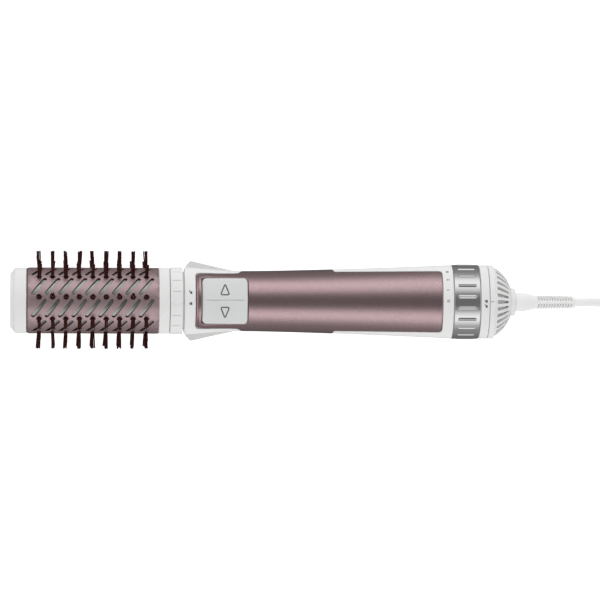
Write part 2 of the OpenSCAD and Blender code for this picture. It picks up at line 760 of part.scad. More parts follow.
end_cap();
cap_seal();
barrel_sleeve();
heat_tube();
core_tube();
drive_hub();
head_collar();
for (row = [0:rows - 1])
    bristle_strip(row);
lock_ring();
drive_spindle();
output_gear();
compound_gear();
motor_pinion();
gear_pin();
spindle_bush();
gearbox_case();
gearbox_cover();
brush_motor();
motor_cradle();
back_shell();
front_cover();
rest_saddle();
housing_screws();
rocker_button();
rocker_pin();
rocker_frame();
rocker_board();
heater_tube();
heater_boards();
heater_coil();
fan_motor();
fan_duct();
fan_impeller();
control_board();
selector_ring();
selector_finger();
selector_switch();
rear_band();
rear_grille();
filter_screen();
swivel_socket();
swivel_barrel();
slip_rings();
strain_relief();
cord_lead();
cord_coil();
cord_tail();
cord_tie();
plug_body();
plug_pins();
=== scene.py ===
"""Hot air brush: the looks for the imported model.

Shapes are worked out in millimetres in the tool's own terms: x along the axis, a radius, and an
angle round the axis counted from straight up towards +Y. spot() turns those into the frame's metres.
"""
import math
import random

import bmesh
import bpy
import numpy as np
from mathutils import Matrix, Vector
from mathutils.geometry import delaunay_2d_cdt


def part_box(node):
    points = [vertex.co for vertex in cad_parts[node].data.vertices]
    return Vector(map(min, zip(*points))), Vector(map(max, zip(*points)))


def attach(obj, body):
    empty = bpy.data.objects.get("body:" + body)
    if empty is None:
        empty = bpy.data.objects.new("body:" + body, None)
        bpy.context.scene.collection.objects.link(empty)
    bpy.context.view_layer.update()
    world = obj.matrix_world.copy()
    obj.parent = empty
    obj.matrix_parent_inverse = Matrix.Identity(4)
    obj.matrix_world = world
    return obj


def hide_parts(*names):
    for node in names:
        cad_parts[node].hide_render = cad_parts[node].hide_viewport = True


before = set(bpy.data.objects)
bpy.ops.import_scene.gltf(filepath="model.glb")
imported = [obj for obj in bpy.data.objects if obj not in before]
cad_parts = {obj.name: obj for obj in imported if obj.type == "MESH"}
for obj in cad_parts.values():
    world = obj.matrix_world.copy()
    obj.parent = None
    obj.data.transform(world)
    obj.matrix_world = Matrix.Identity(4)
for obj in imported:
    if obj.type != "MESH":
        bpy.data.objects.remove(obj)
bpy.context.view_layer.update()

MM = 0.001


def span(node):
    """(first, last) x of a CAD node, in millimetres."""
    low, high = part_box(node)
    return low[0] / MM, high[0] / MM


def radius_of(node):
    """Largest radius of a round CAD node, in millimetres."""
    low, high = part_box(node)
    return (high[1] - low[1]) / 2 / MM


BARREL_LOW, BARREL_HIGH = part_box("barrel_sleeve")
AXIS_Z = (BARREL_LOW[2] + BARREL_HIGH[2]) / 2 / MM

# ---- stations along the tool, in millimetres -------------------------------------------------

NOSE_X, _ = span("end_cap")
BARREL_X0, BARREL_X1 = span("barrel_sleeve")
BARREL_R = radius_of("barrel_sleeve")
_, HEAD_X1 = span("head_collar")
HEAD_COLLAR_R = radius_of("head_collar")
RING_X0, RING_X1 = span("lock_ring")
COVER_X0, COVER_X1 = span("front_cover")
BUTTON_X0, BUTTON_X1 = span("rocker_button")
SELECTOR_X0, SELECTOR_X1 = span("selector_ring")
SELECTOR_R = radius_of("selector_ring")
BAND_X0, BAND_X1 = span("rear_band")
REAR_R = radius_of("rear_band")
GRILLE_X0, GRILLE_X1 = span("rear_grille")
RELIEF_X0, RELIEF_X1 = span("strain_relief")
SHELL_X0 = RING_X1 + 1.1
SHELL_X1 = SELECTOR_X0 - 0.3

ROWS = 9
TUFTS = 9
TUFT_PITCH = 9.05
FIRST_TUFT_X = BARREL_X0 + 7.8
ROW_OFFSET = 6.3
ROW_PITCH = 360 / ROWS
TIP_R = 34.0

# The handle's outline: it narrows from the collar to the waist, then flares slowly to the rear
WAIST_R = 20.5
WAIST_X0 = -13.0
WAIST_X1 = 46.0
COLLAR_R = 22.6
COLLAR_TAPER = 36
REAR_FLARE = 4.9
FLARE_LENGTH = 148
WALL = 2.0
BAND_BORE_R = 22.9


def handle_r(x):
    """The handle's outer radius at x."""
    if x < WAIST_X0:
        return WAIST_R + (COLLAR_R - WAIST_R) * min(1.0, (WAIST_X0 - x) / COLLAR_TAPER) ** 2
    return WAIST_R + REAR_FLARE * min(1.0, (x - WAIST_X0) / FLARE_LENGTH) ** 1.4


def spot(x, r, angle):
    """The point in the frame, in metres, at x and a radius, at an angle in degrees."""
    a = math.radians(angle)
    return Vector((x, r * math.sin(a), AXIS_Z + r * math.cos(a))) * MM


# ---- materials -------------------------------------------------------------------------------


class Shader:
    """A Principled material with the few node chains that the pieces here need."""

    def __init__(self, name, colour, roughness, metallic=0.0):
        self.material = bpy.data.materials.new(name)
        self.material.use_nodes = True
        self.tree = self.material.node_tree
        self.principled = self.tree.nodes["Principled BSDF"]
        self.set("Base Color", (*colour, 1))
        self.set("Roughness", roughness)
        self.set("Metallic", metallic)
        self.colour = colour
        self.roughness = roughness
        self.place = self.node("ShaderNodeTexCoord").outputs["Object"]

    def node(self, kind, **settings):
        made = self.tree.nodes.new(kind)
        for key, value in settings.items():
            setattr(made, key, value)
        return made

    def set(self, socket, value):
        self.principled.inputs[socket].default_value = value

    def link(self, a, b):
        self.tree.links.new(a, b)

    def noise(self, scale, detail=3.0, stretch=(1, 1, 1)):
        """Noise of about 1/scale metres, squeezed by stretch along each axis."""
        mapping = self.node("ShaderNodeMapping")
        mapping.inputs["Scale"].default_value = stretch
        self.link(self.place, mapping.inputs["Vector"])
        noise = self.node("ShaderNodeTexNoise")
        noise.inputs["Scale"].default_value = scale
        noise.inputs["Detail"].default_value = detail
        self.link(mapping.outputs["Vector"], noise.inputs["Vector"])
        return noise.outputs["Fac"]

    def cells(self, scale):
        """A random grey for each cell of about 1/scale metres, as metal flakes have."""
        cells = self.node("ShaderNodeTexVoronoi")
        cells.inputs["Scale"].default_value = scale
        self.link(self.place, cells.inputs["Vector"])
        return cells.outputs["Color"]

    def vary_colour(self, fac, spread):
        """Lightens and darkens the base colour by spread, following fac."""
        ramp = self.node("ShaderNodeValToRGB")
        low, high = ramp.color_ramp.elements
        low.position, high.position = 0.25, 0.75
        low.color = (*[c * (1 - spread) for c in self.colour], 1)
        high.color = (*[min(1, c * (1 + spread)) for c in self.colour], 1)
        self.link(fac, ramp.inputs["Fac"])
        self.link(ramp.outputs["Color"], self.principled.inputs["Base Color"])

    def vary_roughness(self, fac, spread):
        remap = self.node("ShaderNodeMapRange")
        remap.inputs["To Min"].default_value = max(0.02, self.roughness - spread)
        remap.inputs["To Max"].default_value = self.roughness + spread
        self.link(fac, remap.inputs["Value"])
        self.link(remap.outputs["Result"], self.principled.inputs["Roughness"])

    def bump(self, fac, depth, strength=1.0):
        """Relief of depth in metres, following fac; calls add up."""
        bump = self.node("ShaderNodeBump")
        bump.inputs["Distance"].default_value = depth
        bump.inputs["Strength"].default_value = strength
        before = self.principled.inputs["Normal"]
        if before.links:
            self.link(before.links[0].from_socket, bump.inputs["Normal"])
        self.link(fac, bump.inputs["Height"])
        self.link(bump.outputs["Normal"], before)


def moulded(name, colour, roughness, grain=0.00001, spread=0.02):
    """Moulded plastic: a fine spark-eroded grain, with slow changes of gloss and tone."""
    made = Shader(name, colour, roughness)
    made.vary_colour(made.noise(40), spread)
    made.vary_roughness(made.noise(120), 0.05)
    made.bump(made.noise(2600, 2), grain, 0.5)
    return made


def white_plastic():
    """Glossy white, for the housing."""
    made = moulded("white_plastic", (0.80, 0.80, 0.795), 0.34)
    made.set("IOR", 1.48)
    return made.material


def button_plastic():
    """Greyer and duller than the housing."""
    return moulded("button_plastic", (0.68, 0.70, 0.69), 0.42, 0.000015).material


def metallic_coat(name, colour, roughness, flake_scale, flake_spread, coat):
    """Metal-flake finish: each flake has its own tone, under a clear coat."""
    made = Shader(name, colour, roughness, 1.0)
    made.vary_colour(made.cells(flake_scale), flake_spread)
    made.vary_roughness(made.noise(150), 0.04)
    made.bump(made.noise(1400, 4), 0.000012, 0.6)
    made.set("Coat Weight", coat)
    made.set("Coat Roughness", 0.12)
    return made.material


def metal(name, colour, roughness, gloss_noise, gloss_spread, scratches=None, tone=None):
    """Bare metal. scratches is (noise, depth, strength); tone is (noise, spread)."""
    made = Shader(name, colour, roughness, 1.0)
    if tone:
        made.vary_colour(made.noise(tone[0]), tone[1])
    made.vary_roughness(made.noise(*gloss_noise), gloss_spread)
    if scratches:
        noise, depth, strength = scratches
        made.bump(made.noise(*noise), depth, strength)
    return made.material


def tube_metal_painted_shade():
    """Turned tube, its colour darkened overall as painted shade for the dim inside of the slotted barrel:
    fine scratches run round it.
    """
    return metal("tube_metal_painted_shade", (0.40, 0.42, 0.41), 0.2, (90,), 0.06,
                 ((60, 3, (60, 1, 1)), 0.00001, 0.5), (45, 0.3))


def chrome():
    """Bright plating, for the selector ring."""
    return metal("chrome", (0.86, 0.86, 0.87), 0.09, (200,), 0.03, ((700, 2), 0.000002, 0.4))


def steel():
    """Drawn steel, with faint lines along one way."""
    return metal("steel", (0.60, 0.60, 0.61), 0.3, (90, 3, (20, 1, 1)), 0.08,
                 ((200, 3, (12, 1, 1)), 0.000006, 0.5))


def brass():
    """Plain brass, for bushes and contacts."""
    return metal("brass", (0.74, 0.55, 0.26), 0.28, (300,), 0.08, tone=(150, 0.12))


def bristle_nylon():
    """Nylon hair: near black with a reddish brown where the light catches it."""
    made = Shader("bristle_nylon", (0.042, 0.008, 0.007), 0.5)
    made.vary_colour(made.noise(700), 0.6)
    made.vary_roughness(made.noise(900), 0.08)
    made.bump(made.noise(3000, 2), 0.000015, 0.5)
    made.set("Specular IOR Level", 0.25)
    return made.material


def board_green():
    """Printed circuit board with a patchy tone."""
    made = Shader("circuit_board", (0.03, 0.14, 0.06), 0.4)
    made.vary_colour(made.cells(300), 0.35)
    made.bump(made.noise(900), 0.00003, 0.4)
    return made.material


def woven_strap():
    """Black webbing with a diagonal weave."""
    made = Shader("woven_strap", (0.04, 0.04, 0.045), 0.75)
    weave = made.node("ShaderNodeTexWave", bands_direction="DIAGONAL")
    weave.inputs["Scale"].default_value = 420
    made.link(made.place, weave.inputs["Vector"])
    made.vary_colour(weave.outputs["Fac"], 0.4)
    made.bump(weave.outputs["Fac"], 0.0001, 0.7)
    return made.material


WHITE = white_plastic()
BUTTON = button_plastic()
LACQUER = metallic_coat("mauve_lacquer", (0.63, 0.45, 0.47), 0.25, 5200, 0.16, 0.1)
CERAMIC = metallic_coat("barrel_ceramic", (0.77, 0.57, 0.59), 0.44, 6500, 0.12, 0.0)
TUBE = tube_metal_painted_shade()
CHROME = chrome()
STEEL = steel()
BRASS = brass()
BRISTLE = bristle_nylon()
BOARD = board_green()
STRAP = woven_strap()
SEAL = moulded("dark_seal", (0.035, 0.03, 0.032), 0.5).material
GREY = moulded("grey_plastic", (0.30, 0.30, 0.31), 0.5, 0.00002, 0.06).material
NYLON = moulded("nylon_gear", (0.80, 0.76, 0.64), 0.4, 0.00001, 0.05).material
MICA = moulded("mica_board", (0.52, 0.42, 0.28), 0.45, 0.00004, 0.25).material
# Painted shade: a mid grey that darkens the floor of the strain relief's grooves.
GROOVE_SHADE = moulded("relief_groove_painted_shade", (0.5, 0.5, 0.5), 0.6).material
FAN = moulded("fan_plastic", (0.03, 0.03, 0.032), 0.42, 0.00002, 0.1).material
INK = moulded("printed_grey", (0.10, 0.10, 0.10), 0.55).material
CORD = moulded("cord_white", (0.86, 0.86, 0.855), 0.42, 0.00002).material

# ---- mesh helpers ----------------------------------------------------------------------------


def placed(name, data):
    """A new object in the scene that shows data."""
    made = bpy.data.objects.new(name, data)
    bpy.context.collection.objects.link(made)
    return made


def last_ring(count, rings):
    """The face that closes the last of the rings."""
    return tuple((rings - 1) * count + k for k in range(count))


def mesh_piece(name, verts, faces, material, body, slot, *nodes, sharp=40, weighted=True):
    """A smooth mesh on its body, in place of the named CAD nodes. verts are in metres."""
    mesh = bpy.data.meshes.new(name)
    mesh.from_pydata([tuple(v) for v in verts], [], faces)
    edit = bmesh.new()
    edit.from_mesh(mesh)
    bmesh.ops.remove_doubles(edit, verts=edit.verts, dist=0.000002)
    bmesh.ops.recalc_face_normals(edit, faces=edit.faces)
    edit.to_mesh(mesh)
    edit.free()
    mesh.shade_smooth()
    mesh.set_sharp_from_angle(angle=math.radians(sharp))
    mesh.materials.append(material)
    piece = placed(name, mesh)
    if weighted:
        piece.modifiers.new("normals", "WEIGHTED_NORMAL").keep_sharp = True
    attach(piece, body)
    if nodes:
        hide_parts(*nodes)
    return piece


class Parts:
    """Vertices and faces gathered from several shapes for one piece."""

    def __init__(self):
        self.verts = []
        self.faces = []

    def add(self, shape):
        verts, faces = shape
        first = len(self.verts)
        self.verts += verts
        self.faces += [tuple(first + i for i in face) for face in faces]
        return self

    def piece(self, *settings, **more):
        name, *rest = settings
        return mesh_piece(name, self.verts, self.faces, *rest, **more)


def box_outline(u0, u1, v0, v1):
    """The four corners of a rectangle."""
    return [(u0, v0), (u1, v0), (u1, v1), (u0, v1)]


def filleted(points, radius, steps=4):
    """A closed outline with each corner rounded. A point may carry its own radius as a third value."""
    out = []
    count = len(points)
    for i, point in enumerate(points):
        here = Vector(point[:2])
        before = Vector(points[i - 1][:2])
        after = Vector(points[(i + 1) % count][:2])
        wanted = point[2] if len(point) > 2 else radius
        back, on = before - here, after - here
        reach = min(wanted, 0.45 * back.length, 0.45 * on.length)
        if reach < 0.005:
            out.append(tuple(here))
            continue
        start = here + back.normalized() * reach
        end = here + on.normalized() * reach
        for k in range(steps + 1):
            t = k / steps
            out.append(tuple(start * (1 - t) ** 2 + here * 2 * t * (1 - t) + end * t * t))
    return out


def lathe(profile, segments=144, start=0.0, sweep=360.0):
    """Turns a closed outline of (radius, x) round the axis; a part turn gets end faces."""
    full = sweep > 359.9
    steps = segments if full else max(8, int(segments * sweep / 360))
    turns = steps if full else steps + 1
    size = len(profile)
    verts = [spot(x, r, start + sweep * k / steps) for k in range(turns) for r, x in profile]
    faces = []
    for k in range(steps):
        after = (k + 1) % turns
        for i in range(size):
            j = (i + 1) % size
            corners = [k * size + i, k * size + j, after * size + j, after * size + i]
            faces.append(tuple(corners))
    if not full:
        faces.append(tuple(range(size)))
        faces.append(tuple((turns - 1) * size + i for i in range(size)))
    return verts, faces


def loft(count, rings):
    """Faces between each ring of count points and the next."""
    faces = []
    for s in range(rings - 1):
        for k in range(count):
            j = (k + 1) % count
            faces.append((s * count + k, s * count + j, (s + 1) * count + j, (s + 1) * count + k))
    return faces


def bar(centre, size, round_r, place, crown=0.4, steps=5):
    """A raised bar with rounded corners, laid out in a surface's own u, v and height.

    crown is the share of its half width over which the top rises, steepest at the foot.
    """
    half_u, half_v = size[0] / 2, size[1] / 2
    outline = filleted(box_outline(-half_u, half_u, -half_v, half_v), round_r, 6)
    reach = crown * half_v
    rings = [(0.0, -0.4)]
    for k in range(steps + 1):
        t = k / steps
        rings.append((reach * t, size[2] * (1 - (1 - t) ** 1.4)))
    verts = []
    for inset, height in rings:
        for u, v in outline:
            shrink_u = 1 - inset / half_u
            shrink_v = 1 - inset / half_v
            verts.append(place(centre[0] + u * shrink_u, centre[1] + v * shrink_v, height))
    count = len(outline)
    faces = loft(count, len(rings))
    faces.append(last_ring(count, len(rings)))
    return verts, faces


def sampled(points, step, closed=True):
    """The same line with a point at least every step."""
    out = []
    count = len(points)
    for i in range(count if closed else count - 1):
        a, b = Vector(points[i]), Vector(points[(i + 1) % count])
        pieces = max(1, math.ceil((b - a).length / step))
        out += [tuple(a.lerp(b, k / pieces)) for k in range(pieces)]
    if not closed:
        out.append(tuple(points[-1]))
    return out


def shifted(points, distance, closed=True):
    """A line moved sideways, to its left for a positive distance."""
    out = []
    count = len(points)
    for i in range(count):
        before = Vector(points[i - 1] if closed or i > 0 else points[i])
        after = Vector(points[(i + 1) % count] if closed or i < count - 1 else points[i])
        along = after - before
        if along.length < 1e-9:
            continue
        side = Vector((-along.y, along.x)).normalized()
        out.append((points[i][0] + side.x * distance, points[i][1] + side.y * distance))
    return out


def distances(points, segments):
    """Distance of each point from the nearest of the segments."""
    best = np.full(len(points), 1e9)
    for (ax, ay), (bx, by) in segments:
        dx, dy = bx - ax, by - ay
        length = dx * dx + dy * dy
        if length < 1e-12:
            continue
        t = np.clip(((points[:, 0] - ax) * dx + (points[:, 1] - ay) * dy) / length, 0, 1)
        gap = np.hypot(points[:, 0] - ax - t * dx, points[:, 1] - ay - t * dy)
        best = np.minimum(best, gap)
    return best


def inside(points, loops):
    """True for each point that lies inside an odd number of the closed loops."""
    odd = np.zeros(len(points), bool)
    x, y = points[:, 0], points[:, 1]
    for loop in loops:
        for (ax, ay), (bx, by) in zip(loop, loop[1:] + loop[:1]):
            if ay == by:
                continue
            crosses = ((ay > y) != (by > y)) & (x < (bx - ax) * (y - ay) / (by - ay) + ax)
            odd ^= crosses
    return odd


def off_seams(*seams):
    """An is_edge for sheet_shape: any stretch of outline that doesn't lie along one of the v seams."""

    def is_edge(a, b):
        return not any(abs(a[1] - v) < 1e-4 and abs(b[1] - v) < 1e-4 for v in seams)

    return is_edge


def at(value, u):
    """A width or a drop at u, which may be given as a number or as a function of u."""
    return value(u) if callable(value) else np.full(np.shape(u), float(value))


def shaping_rows(edges, rounding, grooves):
    """Rows of points just inside each edge and along each groove, which carry their shape."""
    rows = []
    for loop_edges, (width, _) in zip(edges, rounding):
        for a, b in loop_edges:
            along = Vector(b) - Vector(a)
            if along.length < 1e-9:
                continue
            side = Vector((-along.y, along.x)).normalized()
            for base in (Vector(a), (Vector(a) + Vector(b)) / 2):
                reach = float(at(width, base.x))
                for depth in (0.04, 0.13, 0.3, 0.55, 1.0, 1.35):
                    rows += [tuple(base + side * sign * depth * reach) for sign in (1, -1)]
    for line, half, _ in grooves:
        dense = sampled(line, 0.5, closed=False)
        for offset in (-1.3, -1.0, -0.6, -0.3, 0, 0.3, 0.6, 1.0, 1.3):
            rows += shifted(dense, offset * half, closed=False)
    return rows


def clear_of_edges(points, edges, rounding, share):
    """The points that are further from every edge than a share of its rounded width."""
    for loop_edges, (width, _) in zip(edges, rounding):
        if len(points) and loop_edges:
            points = points[distances(points, loop_edges) > share * at(width, points[:, 0])]
    return points


def grid_points(loops, grid):
    """A plain grid inside the loops, kept off their outlines."""
    flat = [p for loop in loops for p in loop]
    u0, u1 = min(p[0] for p in flat), max(p[0] for p in flat)
    v0, v1 = min(p[1] for p in flat), max(p[1] for p in flat)
    count_u = max(2, int((u1 - u0) / grid[0]))
    count_v = max(2, int((v1 - v0) / grid[1]))
    us, vs = np.meshgrid(np.linspace(u0, u1, count_u + 1), np.linspace(v0, v1, count_v + 1))
    fill = np.column_stack([us.ravel(), vs.ravel()])
    rim = [(a, b) for loop in loops for a, b in zip(loop, loop[1:] + loop[:1])]
    return fill[(distances(fill, rim) > 0.3 * min(grid)) & inside(fill, loops)]


def sheet_heights(flat, edges, rounding, grooves):
    """Height of each point: it drops at the rounded edges and in the grooves."""
    height = np.zeros(len(flat))
    for loop_edges, (width, drop) in zip(edges, rounding):
        if loop_edges:
            share = np.minimum(distances(flat, loop_edges) / at(width, flat[:, 0]), 1)
            height -= at(drop, flat[:, 0]) * (1 - np.sqrt(np.maximum(1 - (1 - share) ** 2, 0)))
    for line, half, depth in grooves:
        away = distances(flat, list(zip(line, line[1:])))
        height -= depth * np.cos(np.clip(away / half, 0, 1) * math.pi / 2) ** 2
    return height


def edge_walls(faces, flat, size, is_edge):
    """Faces that join the outer and inner skins along the real edges."""
    users = {}
    for face in faces:
        for a, b in zip(face, face[1:] + face[:1]):
            users.setdefault((min(a, b), max(a, b)), []).append((a, b))
    walls = []
    for used in users.values():
        a, b = used[0]
        if len(used) == 1 and (is_edge is None or is_edge(tuple(flat[a]), tuple(flat[b]))):
            walls.append((b, a, size + a, size + b))
    return walls


def sheet_shape(loops, place, thickness, rounding, grid, is_edge=None, grooves=()):
    """A curved sheet with rounded edges.

    loops are closed outlines in the surface's own u and v, the outer one first and then its holes.
    place(u, v, height) gives the point in the frame. rounding has one entry for each loop: the
    width over which the surface rounds off, and how far it drops; each may be a function of u.
    is_edge(a, b) says whether a stretch of outline is a real edge; elsewhere the sheet goes on past
    it. Each groove is (line, half width, depth).
    """
    loops = [[tuple(p) for p in loop] for loop in loops]
    points, lines, seen = [], [], {}

    def index(p):
        key = (round(p[0], 5), round(p[1], 5))
        if key not in seen:
            seen[key] = len(points)
            points.append(key)
        return seen[key]

    edges = []
    for loop in loops:
        ids = [index(p) for p in loop]
        lines += [(a, b) for a, b in zip(ids, ids[1:] + ids[:1]) if a != b]
        stretches = zip(loop, loop[1:] + loop[:1])
        edges.append([(a, b) for a, b in stretches if is_edge is None or is_edge(a, b)])
    rows = shaping_rows(edges, rounding, grooves)
    if rows:
        rows = np.array(rows)
        rows = clear_of_edges(rows[inside(rows, loops)], edges, rounding, 0.035)
    fill = clear_of_edges(grid_points(loops, grid), edges, rounding, 1.6)
    for p in list(rows) + list(fill):
        index(tuple(p))

    verts, _, faces, *_ = delaunay_2d_cdt([Vector(p) for p in points], lines, [], 0, 1e-5)
    flat = np.array([tuple(v) for v in verts])
    centres = np.array([flat[list(face)].mean(axis=0) for face in faces])
    kept = [tuple(face) for face, good in zip(faces, inside(centres, loops)) if good]
    heights = sheet_heights(flat, edges, rounding, grooves)
    outer = [place(u, v, h) for (u, v), h in zip(flat, heights)]
    inner = [place(u, v, -thickness) for u, v in flat]
    size = len(outer)
    inner_faces = [tuple(size + i for i in reversed(face)) for face in kept]
    return outer + inner, kept + inner_faces + edge_walls(kept, flat, size, is_edge)


def ribbons(lines, width, place, closed=False, height=0.03):
    """Flat printed strokes of a given width along lines on a surface."""
    shape = Parts()
    for line in lines:
        sides = [shifted(line, side * width / 2, closed) for side in (1, -1)]
        count = len(sides[0])
        verts = [place(u, v, h) for h in (height, -0.1) for side in sides for u, v in side]
        faces = []
        for i in range(count if closed else count - 1):
            j = (i + 1) % count
            faces.append((i, j, count + j, count + i))
            faces.append((j, i, 2 * count + i, 2 * count + j))
            faces.append((count + i, count + j, 3 * count + j, 3 * count + i))
        shape.add((verts, faces))
    return shape.verts, shape.faces


# ---- camera ----------------------------------------------------------------------------------

VIEW_WIDTH = 0.4085
VIEW_MIDDLE = Vector((0.0250, 0.0003, AXIS_Z * MM))
CAMERA_DISTANCE = 3.0
CAMERA_LEAN = math.radians(3.3)
CAMERA_ROLL = math.radians(0.2)

camera = placed("camera", bpy.data.cameras.new("camera"))
camera.data.sensor_width = 36
camera.data.lens = 36 * CAMERA_DISTANCE / VIEW_WIDTH
lean = Vector((-math.sin(CAMERA_LEAN), 0, math.cos(CAMERA_LEAN)))
camera.location = VIEW_MIDDLE + CAMERA_DISTANCE * lean
camera.rotation_euler = (0, -CAMERA_LEAN, CAMERA_ROLL)
camera.data.clip_start = 0.05
camera.data.clip_end = 20
bpy.context.scene.camera = camera

# ---- cord ------------------------------------------------------------------------------------

CORD_D = 5.8
TIE_T = 0.6
COIL_TURNS = 4
COIL_INNER = 4 * CORD_D
COIL_OUTER = COIL_INNER + (COIL_TURNS - 1) * CORD_D
COIL_X = 290.4
COIL_Y = 7.0
TOP_Z = TIE_T + 1.5 * CORD_D
LOW_Z = TIE_T + 0.5 * CORD_D
LEAD_ROUTE = [
    (RELIEF_X1, 0, AXIS_Z), (220, 0, AXIS_Z), (226, 0, AXIS_Z - 0.2), (232.5, -0.5, AXIS_Z - 1),
    (239, -2, AXIS_Z - 2.7), (245.5, -4.6, AXIS_Z - 5.2), (251.5, -8.5, AXIS_Z - 8.4),
    (257, -13.5, AXIS_Z - 11.8), (261.5, -18.5, AXIS_Z - 15), (266, -23, AXIS_Z - 18),
    (271, -27, AXIS_Z - 20.6), (276.5, -30.2, AXIS_Z - 22.6), (282.5, -32.4, AXIS_Z - 23.8),
]
TAIL_ROUTE = [
    (297, -33.6, 3.5), (304, -33, 3.6), (311, -31.4, 4), (318, -28.8, 4.9), (325, -25, 6.3),
    (332, -20.4, 8.1), (339, -15.8, 10.3), (345.5, -12.2, 12.2), (350.5, -10.7, 12.9),
    (354, -10.5, 13), (357.2, -10.5, 13),
]


def coil_route():
    """Four turns inwards on the top layer, then four turns outwards on the layer below.

    Each turn keeps one radius for five sixths of the way and shifts by one diameter in the last
    sixth, so the turns lie a diameter apart all round.
    """
    per_turn = 24
    shift_from = 5 / 6
    inwards = list(range(COIL_TURNS - 1, -1, -1))
    route = []
    for z, steps in ((TOP_Z, inwards), (LOW_Z, inwards[::-1])):
        for turn, step in enumerate(steps):
            after = steps[min(turn + 1, COIL_TURNS - 1)]
            drops = z == TOP_Z and turn == COIL_TURNS - 1
            for k in range(per_turn):
                t = k / per_turn
                ease = max(0.0, (t - shift_from) / (1 - shift_from))
                ease = ease * ease * (3 - 2 * ease)
                r = COIL_INNER + (step + (after - step) * ease) * CORD_D
                drop = (TOP_Z - LOW_Z) * ease if drops else 0
                a = 2 * math.pi * t - math.pi / 2
                route.append((COIL_X + r * math.cos(a), COIL_Y + r * math.sin(a), z - drop))
    route.append((COIL_X, COIL_Y - COIL_OUTER, LOW_Z))
    return route


def make_cord():
    """The mains cord along its lead, coil and tail, as one bevelled curve."""
    route = LEAD_ROUTE + coil_route() + TAIL_ROUTE
    curve = bpy.data.curves.new("mains_cord", "CURVE")
    curve.dimensions = "3D"
    curve.bevel_depth = CORD_D / 2 * MM
    curve.bevel_resolution = 5
    curve.resolution_u = 5
    curve.use_fill_caps = True
    spline = curve.splines.new("BEZIER")
    spline.bezier_points.add(len(route) - 1)
    for knot, point in zip(spline.bezier_points, route):
        knot.co = Vector(point) * MM
        knot.handle_left_type = "AUTO"
        knot.handle_right_type = "AUTO"
    curve.materials.append(CORD)
    piece = placed("mains_cord", curve)
    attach(piece, "handle")
    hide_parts("cord_lead", "cord_coil", "cord_tail")
    return piece


# ---- brush head ------------------------------------------------------------------------------


def make_end_cap():
    """White nose: a flat face, a small step and a rounded shoulder."""
    step_x = NOSE_X + 1.9
    rear_x = BARREL_X0 - 0.8
    cap_r = BARREL_R - 0.2
    rim = [(NOSE_X, 0.01)]
    for r0, x0, r in ((17.7, step_x, 1.9), (cap_r - 2.4, step_x + 2.4, 2.4)):
        for k in range(9):
            a = math.radians(90 * k / 8)
            rim.append((x0 - r * math.cos(a), r0 + r * math.sin(a)))
    profile = [(r, x) for x, r in rim]
    profile += filleted([(cap_r, rear_x, 0.4), (21.4, rear_x, 0), (21.4, rear_x + 2.4, 0.3),
                         (20.6, rear_x + 2.4, 0.1), (20.6, step_x + 3.4, 0)], 0)[1:]
    profile.append((0.01, step_x + 3.4))
    Parts().add(lathe(profile)).piece("nose_cap", WHITE, "brush_head", "white_plastic", "end_cap")


def stadium(centre, length, width, angle, count=9):
    """Outline of a slot with round ends, at an angle in degrees from the u axis."""
    half = (length - width) / 2
    out = []
    for side, turn in ((1, -90), (-1, 90)):
        for k in range(count + 1):
            a = math.radians(turn + 180 * k / count)
            out.append((side * half + width / 2 * math.cos(a), width / 2 * math.sin(a)))
    c, s = math.cos(math.radians(angle)), math.sin(math.radians(angle))
    return [(centre[0] + u * c - v * s, centre[1] + u * s + v * c) for u, v in out]


def barrel_sector(row):
    """The stretch of sleeve from one bristle row to the next, with half of each row's holes."""
    pitch = ROW_PITCH * math.pi / 180 * BARREL_R
    hole_r = 1.75
    low = [(BARREL_X0, 0.0)]
    for k in range(TUFTS):
        x = FIRST_TUFT_X + k * TUFT_PITCH
        for i in range(9):
            a = math.radians(180 - 22.5 * i)
            low.append((x + hole_r * math.cos(a), hole_r * math.sin(a)))
    low.append((BARREL_X1, 0.0))
    high = [(x, pitch - v) for x, v in reversed(low)]
    outer = sampled(low, 1.6, closed=False) + sampled(high, 1.6, closed=False)
    slot_dx, slot_dv = 9.4, 12.8
    angle = math.degrees(math.atan2(slot_dv, slot_dx))
    slots = [stadium((FIRST_TUFT_X + k * TUFT_PITCH, pitch / 2), math.hypot(slot_dx, slot_dv), 2.5, angle)
             for k in range(TUFTS)]
    first = ROW_OFFSET + row * ROW_PITCH

    def place(u, v, height):
        return spot(u, BARREL_R + height, first + v / BARREL_R * 180 / math.pi)

    loops = [outer] + [sampled(slot, 1.2) for slot in slots]
    rounding = [(0.22, 0.22)] * len(loops)
    return sheet_shape(loops, place, 0.8, rounding, (2.2, 1.3), off_seams(0.0, pitch))


def make_barrel():
    """The slotted sleeve, as one sector for each bristle row."""
    sleeve = Parts()
    for row in range(ROWS):
        sleeve.add(barrel_sector(row))
    sleeve.piece("slotted_barrel", CERAMIC, "brush_head", "barrel_ceramic", "barrel_sleeve")


def hair(base, tip, r, bend, sides=5, rings=6):
    """One bristle: a thin rod with a slight bow, cut off square."""
    axis = (tip - base).normalized()
    side = axis.orthogonal().normalized()
    other = axis.cross(side)
    verts = []
    for k in range(rings):
        t = k / (rings - 1)
        middle = base.lerp(tip, t) + bend * (4 * t * (1 - t))
        for i in range(sides):
            a = 2 * math.pi * i / sides
            verts.append(middle + (side * math.cos(a) + other * math.sin(a)) * r * (1.05 - 0.2 * t))
    faces = loft(sides, rings)
    faces.append(last_ring(sides, rings))
    return verts, faces


